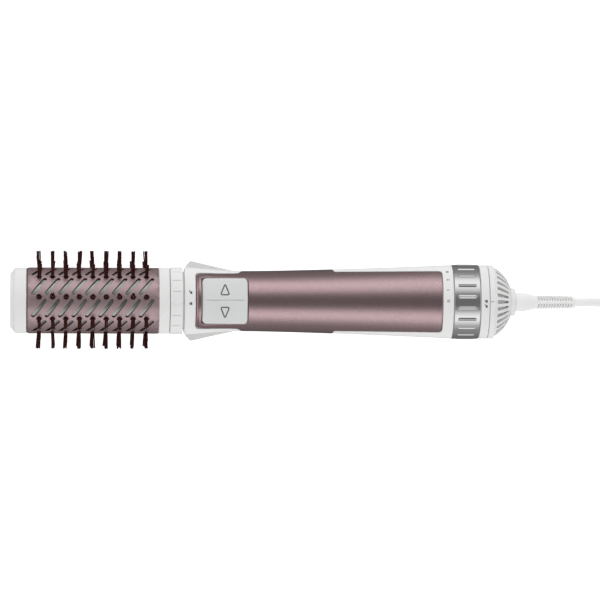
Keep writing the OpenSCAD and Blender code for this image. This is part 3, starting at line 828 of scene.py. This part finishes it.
def tuft(x, angle, draw):
    """A bundle of hairs that stand together, with a lean of its own, a few short or stray ones."""
    shape = Parts()
    lean_x, lean_v = draw.uniform(-0.7, 0.7), draw.uniform(-0.7, 0.7)
    spread = draw.uniform(0.1, 0.75)
    root_r, top_r = 21.2, TIP_R - 0.1
    for _ in range(26):
        turn = draw.uniform(0, 2 * math.pi)
        out = math.sqrt(draw.uniform(0, 1))
        du, dv = out * math.cos(turn), out * math.sin(turn)
        stray = draw.random() < 0.12
        reach = draw.uniform(26.0, 30.0) if stray else top_r - draw.uniform(0, 0.8)
        part = (reach - root_r) / (top_r - root_r)
        flare = spread * part * (1.8 if stray else 1)
        x1 = x + du + (lean_x + du * flare) * part
        v1 = dv + (lean_v + dv * flare * 0.7) * part
        base = spot(x + du, root_r, angle + math.degrees(dv / root_r))
        tip = spot(x1, reach, angle + math.degrees(v1 / reach))
        bend = Vector((draw.uniform(-1, 1), draw.uniform(-1, 1), draw.uniform(-1, 1))) * 0.2 * MM
        shape.add(hair(base, tip, 0.29 * MM, bend))
    return shape.verts, shape.faces


def make_bristles():
    """Nine rows: each its own piece, with the bar that carries the tufts under the sleeve."""
    draw = random.Random(7)
    for row in range(ROWS):
        angle = ROW_OFFSET + row * ROW_PITCH
        strip = Parts()

        def place(u, v, height):
            return spot(u, 21.1 + height, angle + math.degrees(v / 21.1))

        length = (TUFTS - 1) * TUFT_PITCH + 6.4
        strip.add(bar((FIRST_TUFT_X + (TUFTS - 1) * TUFT_PITCH / 2, 0), (length, 3.0, 0.4), 1.0, place))
        for k in range(TUFTS):
            strip.add(tuft(FIRST_TUFT_X + k * TUFT_PITCH, angle, draw))
        strip.piece(f"bristle_row_{row + 1}", BRISTLE, "brush_head", "bristle_nylon",
                    f"bristle_strip_{row + 1}", sharp=60, weighted=False)


def make_heat_tube():
    """The metal tube that shows through the slots, plain, without the CAD's holes."""
    x0, x1 = span("heat_tube")
    outline = [(19.4, x0), (20.4, x0, 0.2), (20.4, BARREL_X0 + 2.5), (20.95, BARREL_X0 + 3),
               (20.95, BARREL_X1 - 3), (20.4, BARREL_X1 - 2.5), (20.4, x1, 0.2), (19.4, x1)]
    Parts().add(lathe(filleted(outline, 0.1))).piece("inner_tube", TUBE, "brush_head",
                                                     "bare_aluminium", "heat_tube")


def make_head_collar():
    """White collar that closes the barrel's rear end."""
    step_x = BARREL_X1 + 0.2
    profile = filleted([
        (20.5, BARREL_X1 - 2), (21.4, BARREL_X1 - 2), (21.4, step_x, 0), (HEAD_COLLAR_R, step_x, 0.5),
        (HEAD_COLLAR_R, HEAD_X1, 0.6), (20.2, HEAD_X1, 0.4), (20.2, BARREL_X1 + 1.8),
        (18.4, BARREL_X1 + 1.8), (18.4, BARREL_X1 - 2.6), (20.5, BARREL_X1 - 2.6),
    ], 0.15)
    Parts().add(lathe(profile)).piece("head_rear_collar", WHITE, "brush_head", "white_plastic",
                                      "head_collar")


# ---- locking ring ----------------------------------------------------------------------------

LOCK_MARK_ANGLE = -4.6


def make_lock_ring():
    """A band with 16 thin grooves and one broad raised mark."""
    ring_r = COLLAR_R + 0.2
    marks = 17
    girth = 2 * math.pi * ring_r
    middle = (RING_X0 + RING_X1) / 2 + 0.2

    def place(u, v, height):
        return spot(u, ring_r + height, LOCK_MARK_ANGLE + math.degrees(v / ring_r))

    outline = sampled(box_outline(RING_X0, RING_X1, 0, girth), 1.4)
    grooves = [([(middle - 2.7, girth * i / marks), (middle + 2.7, girth * i / marks)], 0.38, 0.55)
               for i in range(1, marks)]
    ring = Parts().add(sheet_shape([outline], place, 2.8, [(0.6, 0.6)], (1.5, 1.4),
                                   off_seams(0.0, girth), grooves))
    ring.add(bar((middle, 0), (5.4, 2.3, 0.4), 0.3, place, 0.3))
    ring.piece("locking_ring", WHITE, "lock_ring", "white_plastic", "lock_ring")


# ---- handle ----------------------------------------------------------------------------------

def cover_edge_angle(x, across):
    """Angle from the top at which the cover's edge stands, when it is across from the middle."""
    return math.degrees(math.asin(min(0.9999, across / handle_r(x))))


SIDE_DROP = 8.0
FRONT_ACROSS = 19
FRONT_SHOULDER_X = -17
REAR_ACROSS = 20.3
REAR_WIDENING = 0.009


def cover_side():
    """The cover's edge from front to rear, as (x, angle from the top, corner radius).

    At the waist it wraps past the sides, to SIDE_DROP below the axis.
    """
    waist_angle = 90 + math.degrees(math.asin(SIDE_DROP / WAIST_R))
    line = [
        (COVER_X0, 0, 0), (COVER_X0, cover_edge_angle(COVER_X0 + 3, FRONT_ACROSS), 3.6),
        (FRONT_SHOULDER_X, cover_edge_angle(FRONT_SHOULDER_X, FRONT_ACROSS), 3),
        (WAIST_X0 + 0.5, waist_angle, 2.5), (WAIST_X1, waist_angle, 2.5),
    ]
    rear_start = WAIST_X1 + 1.6
    line.append((rear_start, cover_edge_angle(rear_start, REAR_ACROSS), 1.5))
    for x in (70, 90, 108):
        across = REAR_ACROSS + (x - rear_start) * REAR_WIDENING
        line.append((x, cover_edge_angle(x, across), 0))
    line += [(COVER_X1, cover_edge_angle(COVER_X1, 20.9), 2.7), (COVER_X1, 0, 0)]
    return line


def cover_outline():
    """The cover's half outline on shell_place, rounded, from its front middle to its rear middle."""
    flat = [(x, math.radians(a) * WAIST_R, r) for x, a, r in cover_side()]
    closed = filleted(flat + [(COVER_X1, -30.0, 0), (COVER_X0, -30.0, 0)], 0, 7)
    return [p for p in closed if p[1] > -1e-6]


def shell_place(u, v, height):
    """On the handle's skin: v is the way round from the top, in millimetres at the waist's radius."""
    return spot(u, handle_r(u) + height, math.degrees(v / WAIST_R))


def rocker_hole(gap):
    """The hole's outline on shell_place: the button's square with a gap all round."""
    half_x = (BUTTON_X1 - BUTTON_X0) / 2 + gap
    middle = (BUTTON_X0 + BUTTON_X1) / 2
    r = handle_r(middle)
    half_v = math.asin(half_x / r) * WAIST_R
    return filleted(box_outline(middle - half_x, middle + half_x, -half_v, half_v), 2.9, 6)


def make_front_cover():
    """The lacquered cover, with a hole for the button; it rolls over in front of the button."""
    half = cover_outline()
    outline = half + [(u, -v) for u, v in reversed(half) if v > 1e-6]
    roll_length = 8

    def roll(u):
        """1 at the cover's front edge, falling to 0 over roll_length."""
        return np.clip(1 - (u - COVER_X0) / roll_length, 0, 1)

    def edge_width(u):
        return 0.9 + 3.6 * roll(u)

    def edge_drop(u):
        return 0.45 + 1.9 * roll(u)

    shape = sheet_shape([sampled(outline, 1.3), sampled(rocker_hole(0.45), 1.2)], shell_place, WALL,
                        [(edge_width, edge_drop), (0.4, 0.4)], (2.4, 1.7))
    Parts().add(shape).piece("lacquered_cover", LACQUER, "handle", "mauve_lacquer", "front_cover")


def make_back_shell():
    """The white shell runs right round in front of and behind the cover, and below it between."""
    gap = 0.12
    half = cover_outline()
    first_x, last_x = COVER_X0 - gap, COVER_X1 + gap
    side = [(min(max(u, first_x), last_x), v) for u, v in shifted(half, gap, closed=False)]
    side[0] = (first_x, 0.0)
    side[-1] = (last_x, 0.0)
    round_v = math.pi * WAIST_R
    left = [(SHELL_X0, 0.0)] + side + [(SHELL_X1, 0.0)]
    right = [(SHELL_X1, 2 * round_v)] + [(u, 2 * round_v - v) for u, v in reversed(side)]
    right.append((SHELL_X0, 2 * round_v))
    outline = sampled(left + right, 1.5)

    shell = Parts().add(sheet_shape([outline], shell_place, WALL, [(0.4, 0.4)], (2.4, 1.8),
                                    off_seams(0.0, 2 * round_v)))
    neck_x0 = RING_X0 + 0.4
    shell.add(lathe(filleted([(16.6, neck_x0), (19.5, neck_x0), (19.5, SHELL_X0 - 0.2),
                              (21.6, SHELL_X0 + 0.4), (21.0, SHELL_X0 + 2), (16.6, SHELL_X0 + 2)], 0.2)))
    seat_r = BAND_BORE_R
    seat_x1 = BAND_X1 - 2
    shell.add(lathe(filleted([(seat_r - 2, SHELL_X1 - 2), (seat_r, SHELL_X1 - 1), (seat_r, seat_x1),
                              (seat_r - 2, seat_x1)], 0.2)))
    shell.piece("white_shell", WHITE, "handle", "white_plastic", "back_shell")


def make_saddle():
    """The flared heel: a part turn of a wedge-shaped outline, below the middle of the handle."""
    x0 = SHELL_X0 + 0.9
    x1 = -19.0
    crest = (27.4, x0 + 3.6, 0.6)
    top = [(r, x, 0) for x, r in ((x1 - 1, handle_r(x1) + 0.1), (x1 - 14, handle_r(x1 - 14) + 2.4))]
    profile = filleted([(COLLAR_R - 1, x0, 0), (24, x0 + 0.2, 0.4), crest] + top[::-1]
                       + [(handle_r(x1) - 1, x1 - 1, 0)], 0.4)
    edge_drop = math.degrees(math.asin(1 / COLLAR_R))
    piece = Parts().add(lathe(profile, 144, 90 + edge_drop, 180 - 2 * edge_drop)).piece(
        "rear_heel", WHITE, "handle", "white_plastic", "rest_saddle", sharp=30)
    bevel = piece.modifiers.new("edges", "BEVEL")
    bevel.width = 0.35 * MM
    bevel.segments = 3
    bevel.limit_method = "ANGLE"
    bevel.angle_limit = math.radians(50)


# ---- rocker button ---------------------------------------------------------------------------

BUTTON_X = (BUTTON_X0 + BUTTON_X1) / 2
BUTTON_HALF = (BUTTON_X1 - BUTTON_X0) / 2
BUTTON_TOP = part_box("rocker_button")[1][2] / MM - AXIS_Z
BUTTON_CROWN_R = 28.0
BUTTON_CORNER_R = 3.3
SKIRT_FOOT = 12.1


def button_place(u, v, height):
    """On the button's crown; u runs along the tool and v across it."""
    crown = BUTTON_TOP - BUTTON_CROWN_R + math.sqrt(BUTTON_CROWN_R**2 - v * v)
    return Vector((BUTTON_X + u, v, AXIS_Z + crown + height)) * MM


def make_button():
    """The crowned cap with a groove across its middle, and a skirt that stops above the board."""
    half = BUTTON_HALF
    outline = sampled(filleted(box_outline(-half, half, -half, half), BUTTON_CORNER_R, 7), 1.2)
    groove = [(-half + 3, 0.6), (half - 2.4, 0.6)]
    top = sheet_shape([outline], button_place, 1.8, [(1.1, 1.0)], (1.7, 1.2),
                      grooves=[(groove, 0.7, 0.75)])
    shape = Parts().add(top)
    skirt = []
    for inset, z in ((0.0, None), (0.0, SKIRT_FOOT), (1.4, SKIRT_FOOT), (1.4, None)):
        for u, v in outline:
            k = 1 - inset / half
            if z is None:
                skirt.append(button_place(u * k, v * k, -1.0))
            else:
                skirt.append(Vector((BUTTON_X + u * k, v * k, AXIS_Z + z)) * MM)
    shape.add((skirt, loft(len(outline), 4)))
    shape.piece("rocker_cap", BUTTON, "rocker", "button_grey", "rocker_button", sharp=50)


def make_button_marks():
    """Outlines of two rounded triangles that point away from the middle."""
    lines = []
    for side in (1, -1):
        base, tip = side * 4.25, side * 11.65
        outline = sampled(filleted([(-3.0, base, 1.4), (3.0, base, 1.4), (0.0, tip, 1.5)], 1, 6), 0.5)
        lines.append(outline if side > 0 else outline[::-1])
    Parts().add(ribbons(lines, 0.85, button_place, closed=True)).piece(
        "button_arrows", INK, "rocker", "button_grey", weighted=False)


# ---- marks on the housing --------------------------------------------------------------------


def skin_place(x, angle, r):
    """Marks drawn on a round surface: u across the tool towards +Y, v along it towards the brush."""

    def place(u, v, height):
        return spot(x - v, r + height, angle + math.degrees(u / r))

    return place


def circle_line(centre, r, a0=0, a1=360, count=14):
    """Points along an arc, from a0 to a1 degrees."""
    return [(centre[0] + r * math.cos(math.radians(a0 + (a1 - a0) * k / count)),
             centre[1] + r * math.sin(math.radians(a0 + (a1 - a0) * k / count))) for k in range(count + 1)]


def scaled(lines, factor):
    """The same strokes, larger or smaller."""
    return [[(u * factor, v * factor) for u, v in line] for line in lines]


def padlock(open_shackle):
    """Strokes of a small padlock: a filled body and its shackle, swung aside when open."""
    body = [[(-0.85, v), (0.85, v)] for v in (-0.9, -0.65, -0.4, -0.15, 0.1)]
    turn = 1.1 if open_shackle else 0.0
    return body + [circle_line((turn, 0.3), 0.55, 0, 180, 8)]


def make_marks():
    """Dial marks 0, 1, 2 and a snowflake; open and closed padlocks at both twist joints."""
    marks = Parts()
    dial_x = (COVER_X1 + SELECTOR_X0) / 2 - 0.2
    dial_step = 17.8
    zero = [circle_line((0, 0), 0.65, count=16)]
    one = [[(0, -0.8), (0, 0.8)], [(0, 0.8), (-0.45, 0.4)]]
    two = [[(-0.5, 0.4), (-0.25, 0.75), (0.3, 0.72), (0.45, 0.3), (-0.5, -0.78), (0.6, -0.78)]]
    flake = []
    for degrees in (30, 90, 150):
        u, v = math.cos(math.radians(degrees)), math.sin(math.radians(degrees))
        flake.append([(u, v), (-u, -v)])
    for number, strokes in enumerate((zero, one, two, flake)):
        place = skin_place(dial_x, 1.1 + dial_step * number, handle_r(dial_x) + 0.02)
        marks.add(ribbons(scaled(strokes, 1.15), 0.36, place))
    locks = [(SHELL_X0 + 3.9, 14.5, COLLAR_R, True), (SHELL_X0 + 3.9, -4.5, COLLAR_R, False)]
    locks += [(BAND_X0 + 3.2, 1.0, REAR_R, False), (BAND_X0 + 3.2, -7.0, REAR_R, True)]
    for x, angle, r, is_open in locks:
        marks.add(ribbons(padlock(is_open), 0.36, skin_place(x, angle, r + 0.02)))
    marks.piece("printed_marks", INK, "handle", "dark_seal", weighted=False)


# ---- selector ring ---------------------------------------------------------------------------

SELECTOR_BARS = 20


def make_selector():
    """Chromed ring with domed grip bars round it."""
    bar_height = 0.5
    ring_r = SELECTOR_R - bar_height
    middle = (SELECTOR_X0 + SELECTOR_X1) / 2
    ring = Parts().add(lathe(filleted([
        (23.2, SELECTOR_X0, 0), (ring_r, SELECTOR_X0, 0.6), (ring_r, SELECTOR_X1, 0.6),
        (23.2, SELECTOR_X1, 0)], 0), 180))
    for i in range(SELECTOR_BARS):
        angle = 8.1 + i * 360 / SELECTOR_BARS

        def place(u, v, height):
            return spot(u, ring_r + height, angle + math.degrees(v / ring_r))

        ring.add(bar((middle, 0), (12.7, 2.3, bar_height), 1.15, place, crown=0.96))
    ring.piece("chromed_ring", CHROME, "selector", "chrome_ring", "selector_ring")


def make_rear_band():
    """Plain white band between the selector and the grille."""
    profile = filleted([(BAND_BORE_R, BAND_X0), (REAR_R, BAND_X0, 0.5), (REAR_R, BAND_X1, 0.4),
                        (BAND_BORE_R, BAND_X1)], 0.1)
    Parts().add(lathe(profile)).piece("white_rear_band", WHITE, "handle", "white_plastic", "rear_band")


# ---- rear grille -----------------------------------------------------------------------------

GRILLE_SLOTS = 30
DOME_R0 = 23.7
DOME_R1 = 10.4
DOME_X0 = BAND_X1 + 4.6
DOME_SWELL = 1.6
V_PER_DEGREE = 4.0


def dome_point(t, inset):
    """(radius, x) on the dome, from its rim at 0 to its hole at 1."""
    slope = Vector((DOME_R1 - DOME_R0, GRILLE_X1 - DOME_X0))
    out = Vector((slope.y, -slope.x)).normalized()
    here = Vector((DOME_R0, DOME_X0)) + slope * t + out * (DOME_SWELL * 4 * t * (1 - t) - inset)
    return here.x, here.y


def grille_sector(index):
    """One rib's width of the dome with its slot; v is the way round, at V_PER_DEGREE."""
    length = math.hypot(DOME_R1 - DOME_R0, GRILLE_X1 - DOME_X0)
    pitch = 360 / GRILLE_SLOTS
    first = (index - 0.5) * pitch
    wide = pitch * V_PER_DEGREE

    def place(u, v, height):
        r, x = dome_point(u / length, -height)
        return spot(x, r, first + v / V_PER_DEGREE)

    outline = sampled(box_outline(0, length, 0, wide), 1.1)
    slot_u0, slot_u1 = 1.2, length * 0.74
    half0, half1 = 0.31 * wide, 0.24 * wide
    slot = filleted([(slot_u0, wide / 2 - half0, 3), (slot_u1, wide / 2 - half1, 3),
                     (slot_u1, wide / 2 + half1, 3), (slot_u0, wide / 2 + half0, 3)], 3, 5)
    return sheet_shape([outline, sampled(slot, 0.9)], place, 1.5, [(0.3, 0.3), (0.35, 0.35)],
                       (1.2, 3.0), off_seams(0, wide))


def make_grille():
    """The dome, its rim, and a cone behind the slots that closes the view in; it isn't a real piece."""
    grille = Parts()
    for i in range(GRILLE_SLOTS):
        grille.add(grille_sector(i))
    rim_x1 = DOME_X0 - 0.6
    grille.add(lathe(filleted([(23.2, GRILLE_X0), (REAR_R, GRILLE_X0, 0.5), (REAR_R, rim_x1, 0.6),
                               (DOME_R0 - 0.2, DOME_X0, 0.2), (22.4, DOME_X0 - 0.8, 0.2)], 0.1)))
    cone = [dome_point(t, 2.7 - 1.1 * t) for t in (0.02, 0.25, 0.5, 0.75, 0.95)]
    grille.add(lathe(cone + [(r - 0.5, x - 0.5) for r, x in cone[::-1]]))
    grille.piece("domed_grille", WHITE, "grille", "white_plastic", "rear_grille")
    place = skin_place(GRILLE_X0 + 1.6, 0.4, REAR_R + 0.02)
    Parts().add(ribbons([[(0, -1.1), (0, 1.0)]], 0.3, place)).piece(
        "grille_index", INK, "grille", "dark_seal", weighted=False)


# ---- strain relief and plug ------------------------------------------------------------------


RELIEF_LENGTH = RELIEF_X1 - RELIEF_X0
RELIEF_BORE_R = 2.95
RIB_X0 = RELIEF_X0 + 16.2
RIB_PITCH = 1.86
RIBS = 13
RIB_DEPTH = 1.2
RIB_SLANT = 2.0

# The relief's outline without its grooves: distance from its front, and radius
RELIEF_OUTLINE = [
    (0, 6.3), (6.5, 6.35), (9, 5.95), (11.4, 5.2), (13.6, 4.85), (16, 4.7), (28, 4.5), (40.4, 4.3),
    (41.1, 4.1), (RELIEF_LENGTH, 3.5),
]


def relief_r(x):
    """Radius between the grooves, at x from the relief's front."""
    for (x0, r0), (x1, r1) in zip(RELIEF_OUTLINE, RELIEF_OUTLINE[1:]):
        if x <= x1:
            t = (x - x0) / (x1 - x0)
            return r0 + (r1 - r0) * t
    return RELIEF_OUTLINE[-1][1]


def relief_stations():
    """Distances from the relief's front, close together where the grooves are."""
    stations = []
    x = 0.0
    while x < RELIEF_LENGTH - 0.01:
        stations.append(x)
        x += 0.22 if x > RIB_X0 - RELIEF_X0 - 1 else 0.8
    return stations + [RELIEF_LENGTH]


def relief_groove(x, angle):
    """Depth of the grooves, which slant along both flanks and leave the top and bottom plain."""
    slant = (1 - abs(math.cos(math.radians(angle)))) * RIB_SLANT
    place = (RELIEF_X0 + x - RIB_X0 + slant) / RIB_PITCH
    if not 0 < place < RIBS:
        return 0.0
    mask = min(1.0, max(0.0, (abs(math.sin(math.radians(angle))) - 0.2) / 0.15))
    wave = place - math.floor(place)
    return RIB_DEPTH * min(1.0, max(0.0, (0.31 - abs(wave - 0.5)) / 0.1)) * mask


def relief_spine(x, angle):
    """Height of the low ridge along the top and bottom of the stem."""
    if not 10 < x < 36:
        return 0.0
    return 0.18 * max(0.0, 1 - abs(math.sin(math.radians(angle))) / 0.1)


def make_relief_shade_core():
    """A grey sleeve that shows as the grooves' floor, as painted shade that darkens the grooves; it isn't a
    real piece.
    """
    core = filleted([(2.9, RIB_X0 - 1), (3.7, RIB_X0 - 1), (3.4, RELIEF_X1 - 2), (2.9, RELIEF_X1 - 2)], 0.1)
    Parts().add(lathe(core, 48)).piece("relief_core", GROOVE_SHADE, "cord_swivel", "grey_plastic")


def make_strain_relief():
    """A bell, a tapered stem, and slanting flex grooves on both flanks with a plain spine between."""
    around = 72
    angles = [360 * k / around for k in range(around)]
    stations = relief_stations()
    verts = []
    for x in stations:
        for angle in angles:
            r = relief_r(x) - relief_groove(x, angle) + relief_spine(x, angle)
            verts.append(spot(RELIEF_X0 + x, r, angle))
    faces = loft(around, len(stations))
    make_relief_shade_core()
    for s in (0, len(stations) - 1):
        first = len(verts)
        verts += [spot(RELIEF_X0 + stations[s], RELIEF_BORE_R, angle) for angle in angles]
        for k in range(around):
            j = (k + 1) % around
            faces.append((s * around + k, s * around + j, first + j, first + k))
    return mesh_piece("flex_relief", verts, faces, CORD, "cord_swivel", "cord_white", "strain_relief",
                      sharp=35, weighted=False)


def oval_ring(x, centre, w, t, count=48):
    """Points round a flat oval in the plane across X."""
    r = t / 2
    out = []
    for k in range(count):
        a = 2 * math.pi * k / count
        across = (w / 2 - r) * (1 if math.cos(a) > 0 else -1) if abs(math.cos(a)) > 1e-6 else 0
        out.append(Vector((x, centre[0] + across + r * math.cos(a), centre[1] + r * math.sin(a))) * MM)
    return out


def make_plug():
    """A contour plug: cord sleeve with grip rings, then a flat oval body with softened edges."""
    (x0, y0, z0), (x1, y1, z1) = (tuple(c / MM for c in corner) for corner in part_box("plug_body"))
    centre = ((y0 + y1) / 2, (z0 + z1) / 2)
    width, thick = y1 - y0, z1 - z0
    rings = [(x0, 6, 6), (x0 + 0.4, 8.2, 8.2)]
    for k in range(4):
        x = x0 + 1.2 + 2.4 * k
        d = 8.6 + k * 0.8
        rings += [(x + dx, d + grow, d + grow) for dx, grow in ((0, 0), (0.3, 0.9), (1.2, 1.0), (1.5, 0.2))]
    body_x0 = x0 + 12
    rings += [(body_x0 - 0.8, 12.0, 11.8), (body_x0 - 0.1, 15, 14), (body_x0 + 0.2, width - 6, thick - 5),
              (body_x0 + 0.8, width - 2.4, thick - 2.2), (body_x0 + 2.2, width - 0.5, thick - 0.4),
              (body_x0 + 4, width, thick), (x1 - 1.4, width, thick), (x1 - 0.5, width - 0.6, thick - 0.6),
              (x1, width - 2, thick - 2)]
    count = 64
    verts = [p for x, w, t in rings for p in oval_ring(x, centre, w, t, count)]
    faces = loft(count, len(rings))
    faces.append(tuple(range(count)))
    faces.append(last_ring(count, len(rings)))
    return mesh_piece("moulded_plug", verts, faces, CORD, "handle", "plug_white", "plug_body", sharp=35)


def make_tie():
    """A soft strap once round the bundle, with rounded corners and softened edges."""
    (x0, y0, z0), (x1, y1, z1) = (tuple(c / MM for c in corner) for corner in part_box("cord_tie"))
    outer = filleted(box_outline(y0, y1, z0, z1), 2.6, 6)
    inner = filleted(box_outline(y0 + TIE_T, y1 - TIE_T, z0 + TIE_T, z1 - TIE_T), 2.2, 6)
    verts = []
    for x in (x0, x0 + 0.2, x1 - 0.2, x1):
        lift = 0.15 if x in (x0, x1) else 0.0
        for ring, sign in ((outer, 1), (inner, -1)):
            for y, z in ring:
                towards = Vector(((y0 + y1) / 2 - y, (z0 + z1) / 2 - z)).normalized() * lift * sign
                verts.append(Vector((x, y + towards.x, max(z0, z + towards.y))) * MM)
    count = len(outer)
    faces = []
    for s in range(3):
        for k in range(count):
            j = (k + 1) % count
            a, b = s * 2 * count, (s + 1) * 2 * count
            faces.append((a + k, a + j, b + j, b + k))
            faces.append((a + count + k, b + count + k, b + count + j, a + count + j))
    for s in (0, 3):
        for k in range(count):
            j = (k + 1) % count
            a = s * 2 * count
            faces.append((a + k, a + j, a + count + j, a + count + k))
    return mesh_piece("cord_strap", verts, faces, STRAP, "handle", "tie_black", "cord_tie", sharp=45)


# ---- CAD pieces that stay, and their finishes --------------------------------------------------

FINISHES = {
    "cap_seal": SEAL, "core_tube": GREY, "drive_hub": GREY,
    "drive_spindle": STEEL, "output_gear": NYLON, "compound_gear": NYLON, "motor_pinion": BRASS,
    "gear_pin": STEEL, "spindle_bush": BRASS, "gearbox_case": GREY, "gearbox_cover": GREY,
    "brush_motor": STEEL, "motor_cradle": GREY, "housing_screws": STEEL, "rocker_pin": STEEL,
    "rocker_frame": GREY, "rocker_board": BOARD, "heater_tube": MICA, "heater_boards": MICA,
    "heater_coil": STEEL, "fan_motor": STEEL, "fan_duct": GREY, "fan_impeller": FAN,
    "control_board": BOARD, "selector_finger": GREY, "selector_switch": BOARD, "filter_screen": STEEL,
    "swivel_socket": WHITE, "swivel_barrel": GREY, "slip_rings": BRASS, "plug_pins": STEEL,
}


def finish_cad_pieces():
    """Gives each CAD piece that stays its own material."""
    for name, material in FINISHES.items():
        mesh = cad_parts[name].data
        mesh.materials.clear()
        mesh.materials.append(material)


# ---- light and floor -------------------------------------------------------------------------


# Brightness of the surroundings, by the angle in degrees from straight up towards +Y
SURROUNDINGS = [
    (-180, 0.10), (-144, 0.15), (-118, 0.22), (-100, 0.25), (-80, 0.44), (-60, 0.90), (-46, 0.92),
    (-36, 0.70), (-24, 0.30), (-12, 0.16), (0, 0.15), (12, 0.16), (26, 0.29), (36, 0.60), (48, 0.85),
    (60, 0.95), (72, 0.88), (86, 0.50), (104, 0.25), (124, 0.21), (150, 0.15), (180, 0.10),
]


def ramp_node(nodes, stops):
    """A colour ramp with one grey stop for each (position, brightness)."""
    ramp = nodes.new("ShaderNodeValToRGB")
    elements = ramp.color_ramp.elements
    elements[0].position, elements[1].position = stops[0][0], stops[-1][0]
    for position, _ in stops[1:-1]:
        elements.new(position)
    for element, (_, grey) in zip(elements, stops):
        element.color = (grey, grey, grey, 1)
    return ramp


# For reflections only, by how far a direction points along the tool: the share of the brightness
# that is left, and a least brightness
END_FADE = [(0.0, 1.0), (0.2, 1.0), (0.32, 0.5), (0.45, 0.35), (0.65, 0.8), (0.8, 1.0)]
END_GLOW = [(0.0, 0.0), (0.1, 0.0), (0.25, 0.15), (0.45, 0.15), (0.62, 0.35), (0.8, 0.5)]


def make_surroundings():
    """Soft banks along both sides of the tool and dark overhead; reflections differ towards its ends."""
    world = bpy.data.worlds.new("studio")
    world.use_nodes = True
    nodes, links = world.node_tree.nodes, world.node_tree.links
    towards = nodes.new("ShaderNodeTexCoord")
    parts = nodes.new("ShaderNodeSeparateXYZ")
    links.new(towards.outputs["Generated"], parts.inputs["Vector"])
    angle = nodes.new("ShaderNodeMath")
    angle.operation = "ARCTAN2"
    links.new(parts.outputs["Y"], angle.inputs[0])
    links.new(parts.outputs["Z"], angle.inputs[1])
    turn = nodes.new("ShaderNodeMapRange")
    turn.inputs["From Min"].default_value = -math.pi
    turn.inputs["From Max"].default_value = math.pi
    links.new(angle.outputs["Value"], turn.inputs["Value"])
    around = ramp_node(nodes, [((degrees + 180) / 360, grey) for degrees, grey in SURROUNDINGS])
    links.new(turn.outputs["Result"], around.inputs["Fac"])
    endways = nodes.new("ShaderNodeMath")
    endways.operation = "ABSOLUTE"
    links.new(parts.outputs["X"], endways.inputs[0])
    rays = nodes.new("ShaderNodeLightPath")
    seen = around.outputs["Color"]
    for stops, blend in ((END_FADE, "MULTIPLY"), (END_GLOW, "LIGHTEN")):
        ramp = ramp_node(nodes, stops)
        links.new(endways.outputs["Value"], ramp.inputs["Fac"])
        mixed = nodes.new("ShaderNodeMix")
        mixed.data_type = "RGBA"
        mixed.blend_type = blend
        links.new(rays.outputs["Is Glossy Ray"], mixed.inputs["Factor"])
        links.new(seen, mixed.inputs["A"])
        links.new(ramp.outputs["Color"], mixed.inputs["B"])
        seen = mixed.outputs["Result"]
    links.new(seen, nodes["Background"].inputs["Color"])
    bpy.context.scene.world = world


def soft_light(name, place, size, power):
    """A large light for matt surfaces only, aimed at the middle of the handle."""
    light = bpy.data.lights.new(name, "AREA")
    light.shape = "RECTANGLE"
    light.size, light.size_y = size
    light.energy = power
    lamp = placed(name, light)
    lamp.location = place
    aim = VIEW_MIDDLE - Vector(place)
    lamp.rotation_euler = aim.to_track_quat("-Z", "X").to_euler()
    lamp.visible_glossy = False
    lamp.visible_camera = False


def make_light():
    """The surroundings and two large fill lights, one on each side."""
    make_surroundings()
    soft_light("far_fill", (0.02, 1.7, 1.5), (2.6, 1.2), 22)
    soft_light("near_fill", (0.02, -1.7, 1.5), (2.6, 1.2), 19.5)
    bpy.context.scene.view_settings.view_transform = "Standard"


def make_floor():
    """A plain pale floor that reflections leave out."""
    bpy.ops.mesh.primitive_plane_add(size=8, location=(0, 0, 0))
    floor = bpy.context.object
    floor.name = "floor"
    made = Shader("pale_floor", (0.3, 0.3, 0.3), 0.9)
    made.set("Emission Color", (1, 1, 1, 1))
    made.set("Emission Strength", 1.0)
    floor.data.materials.append(made.material)
    floor.visible_glossy = False


# ---- making ----------------------------------------------------------------------------------

cord = make_cord()
relief = make_strain_relief()
plug = make_plug()
tie = make_tie()
make_end_cap()
make_barrel()
make_bristles()
make_heat_tube()
make_head_collar()
make_lock_ring()
make_front_cover()
make_back_shell()
make_saddle()
make_button()
make_button_marks()
make_marks()
make_selector()
make_rear_band()
make_grille()
finish_cad_pieces()
make_light()
make_floor()
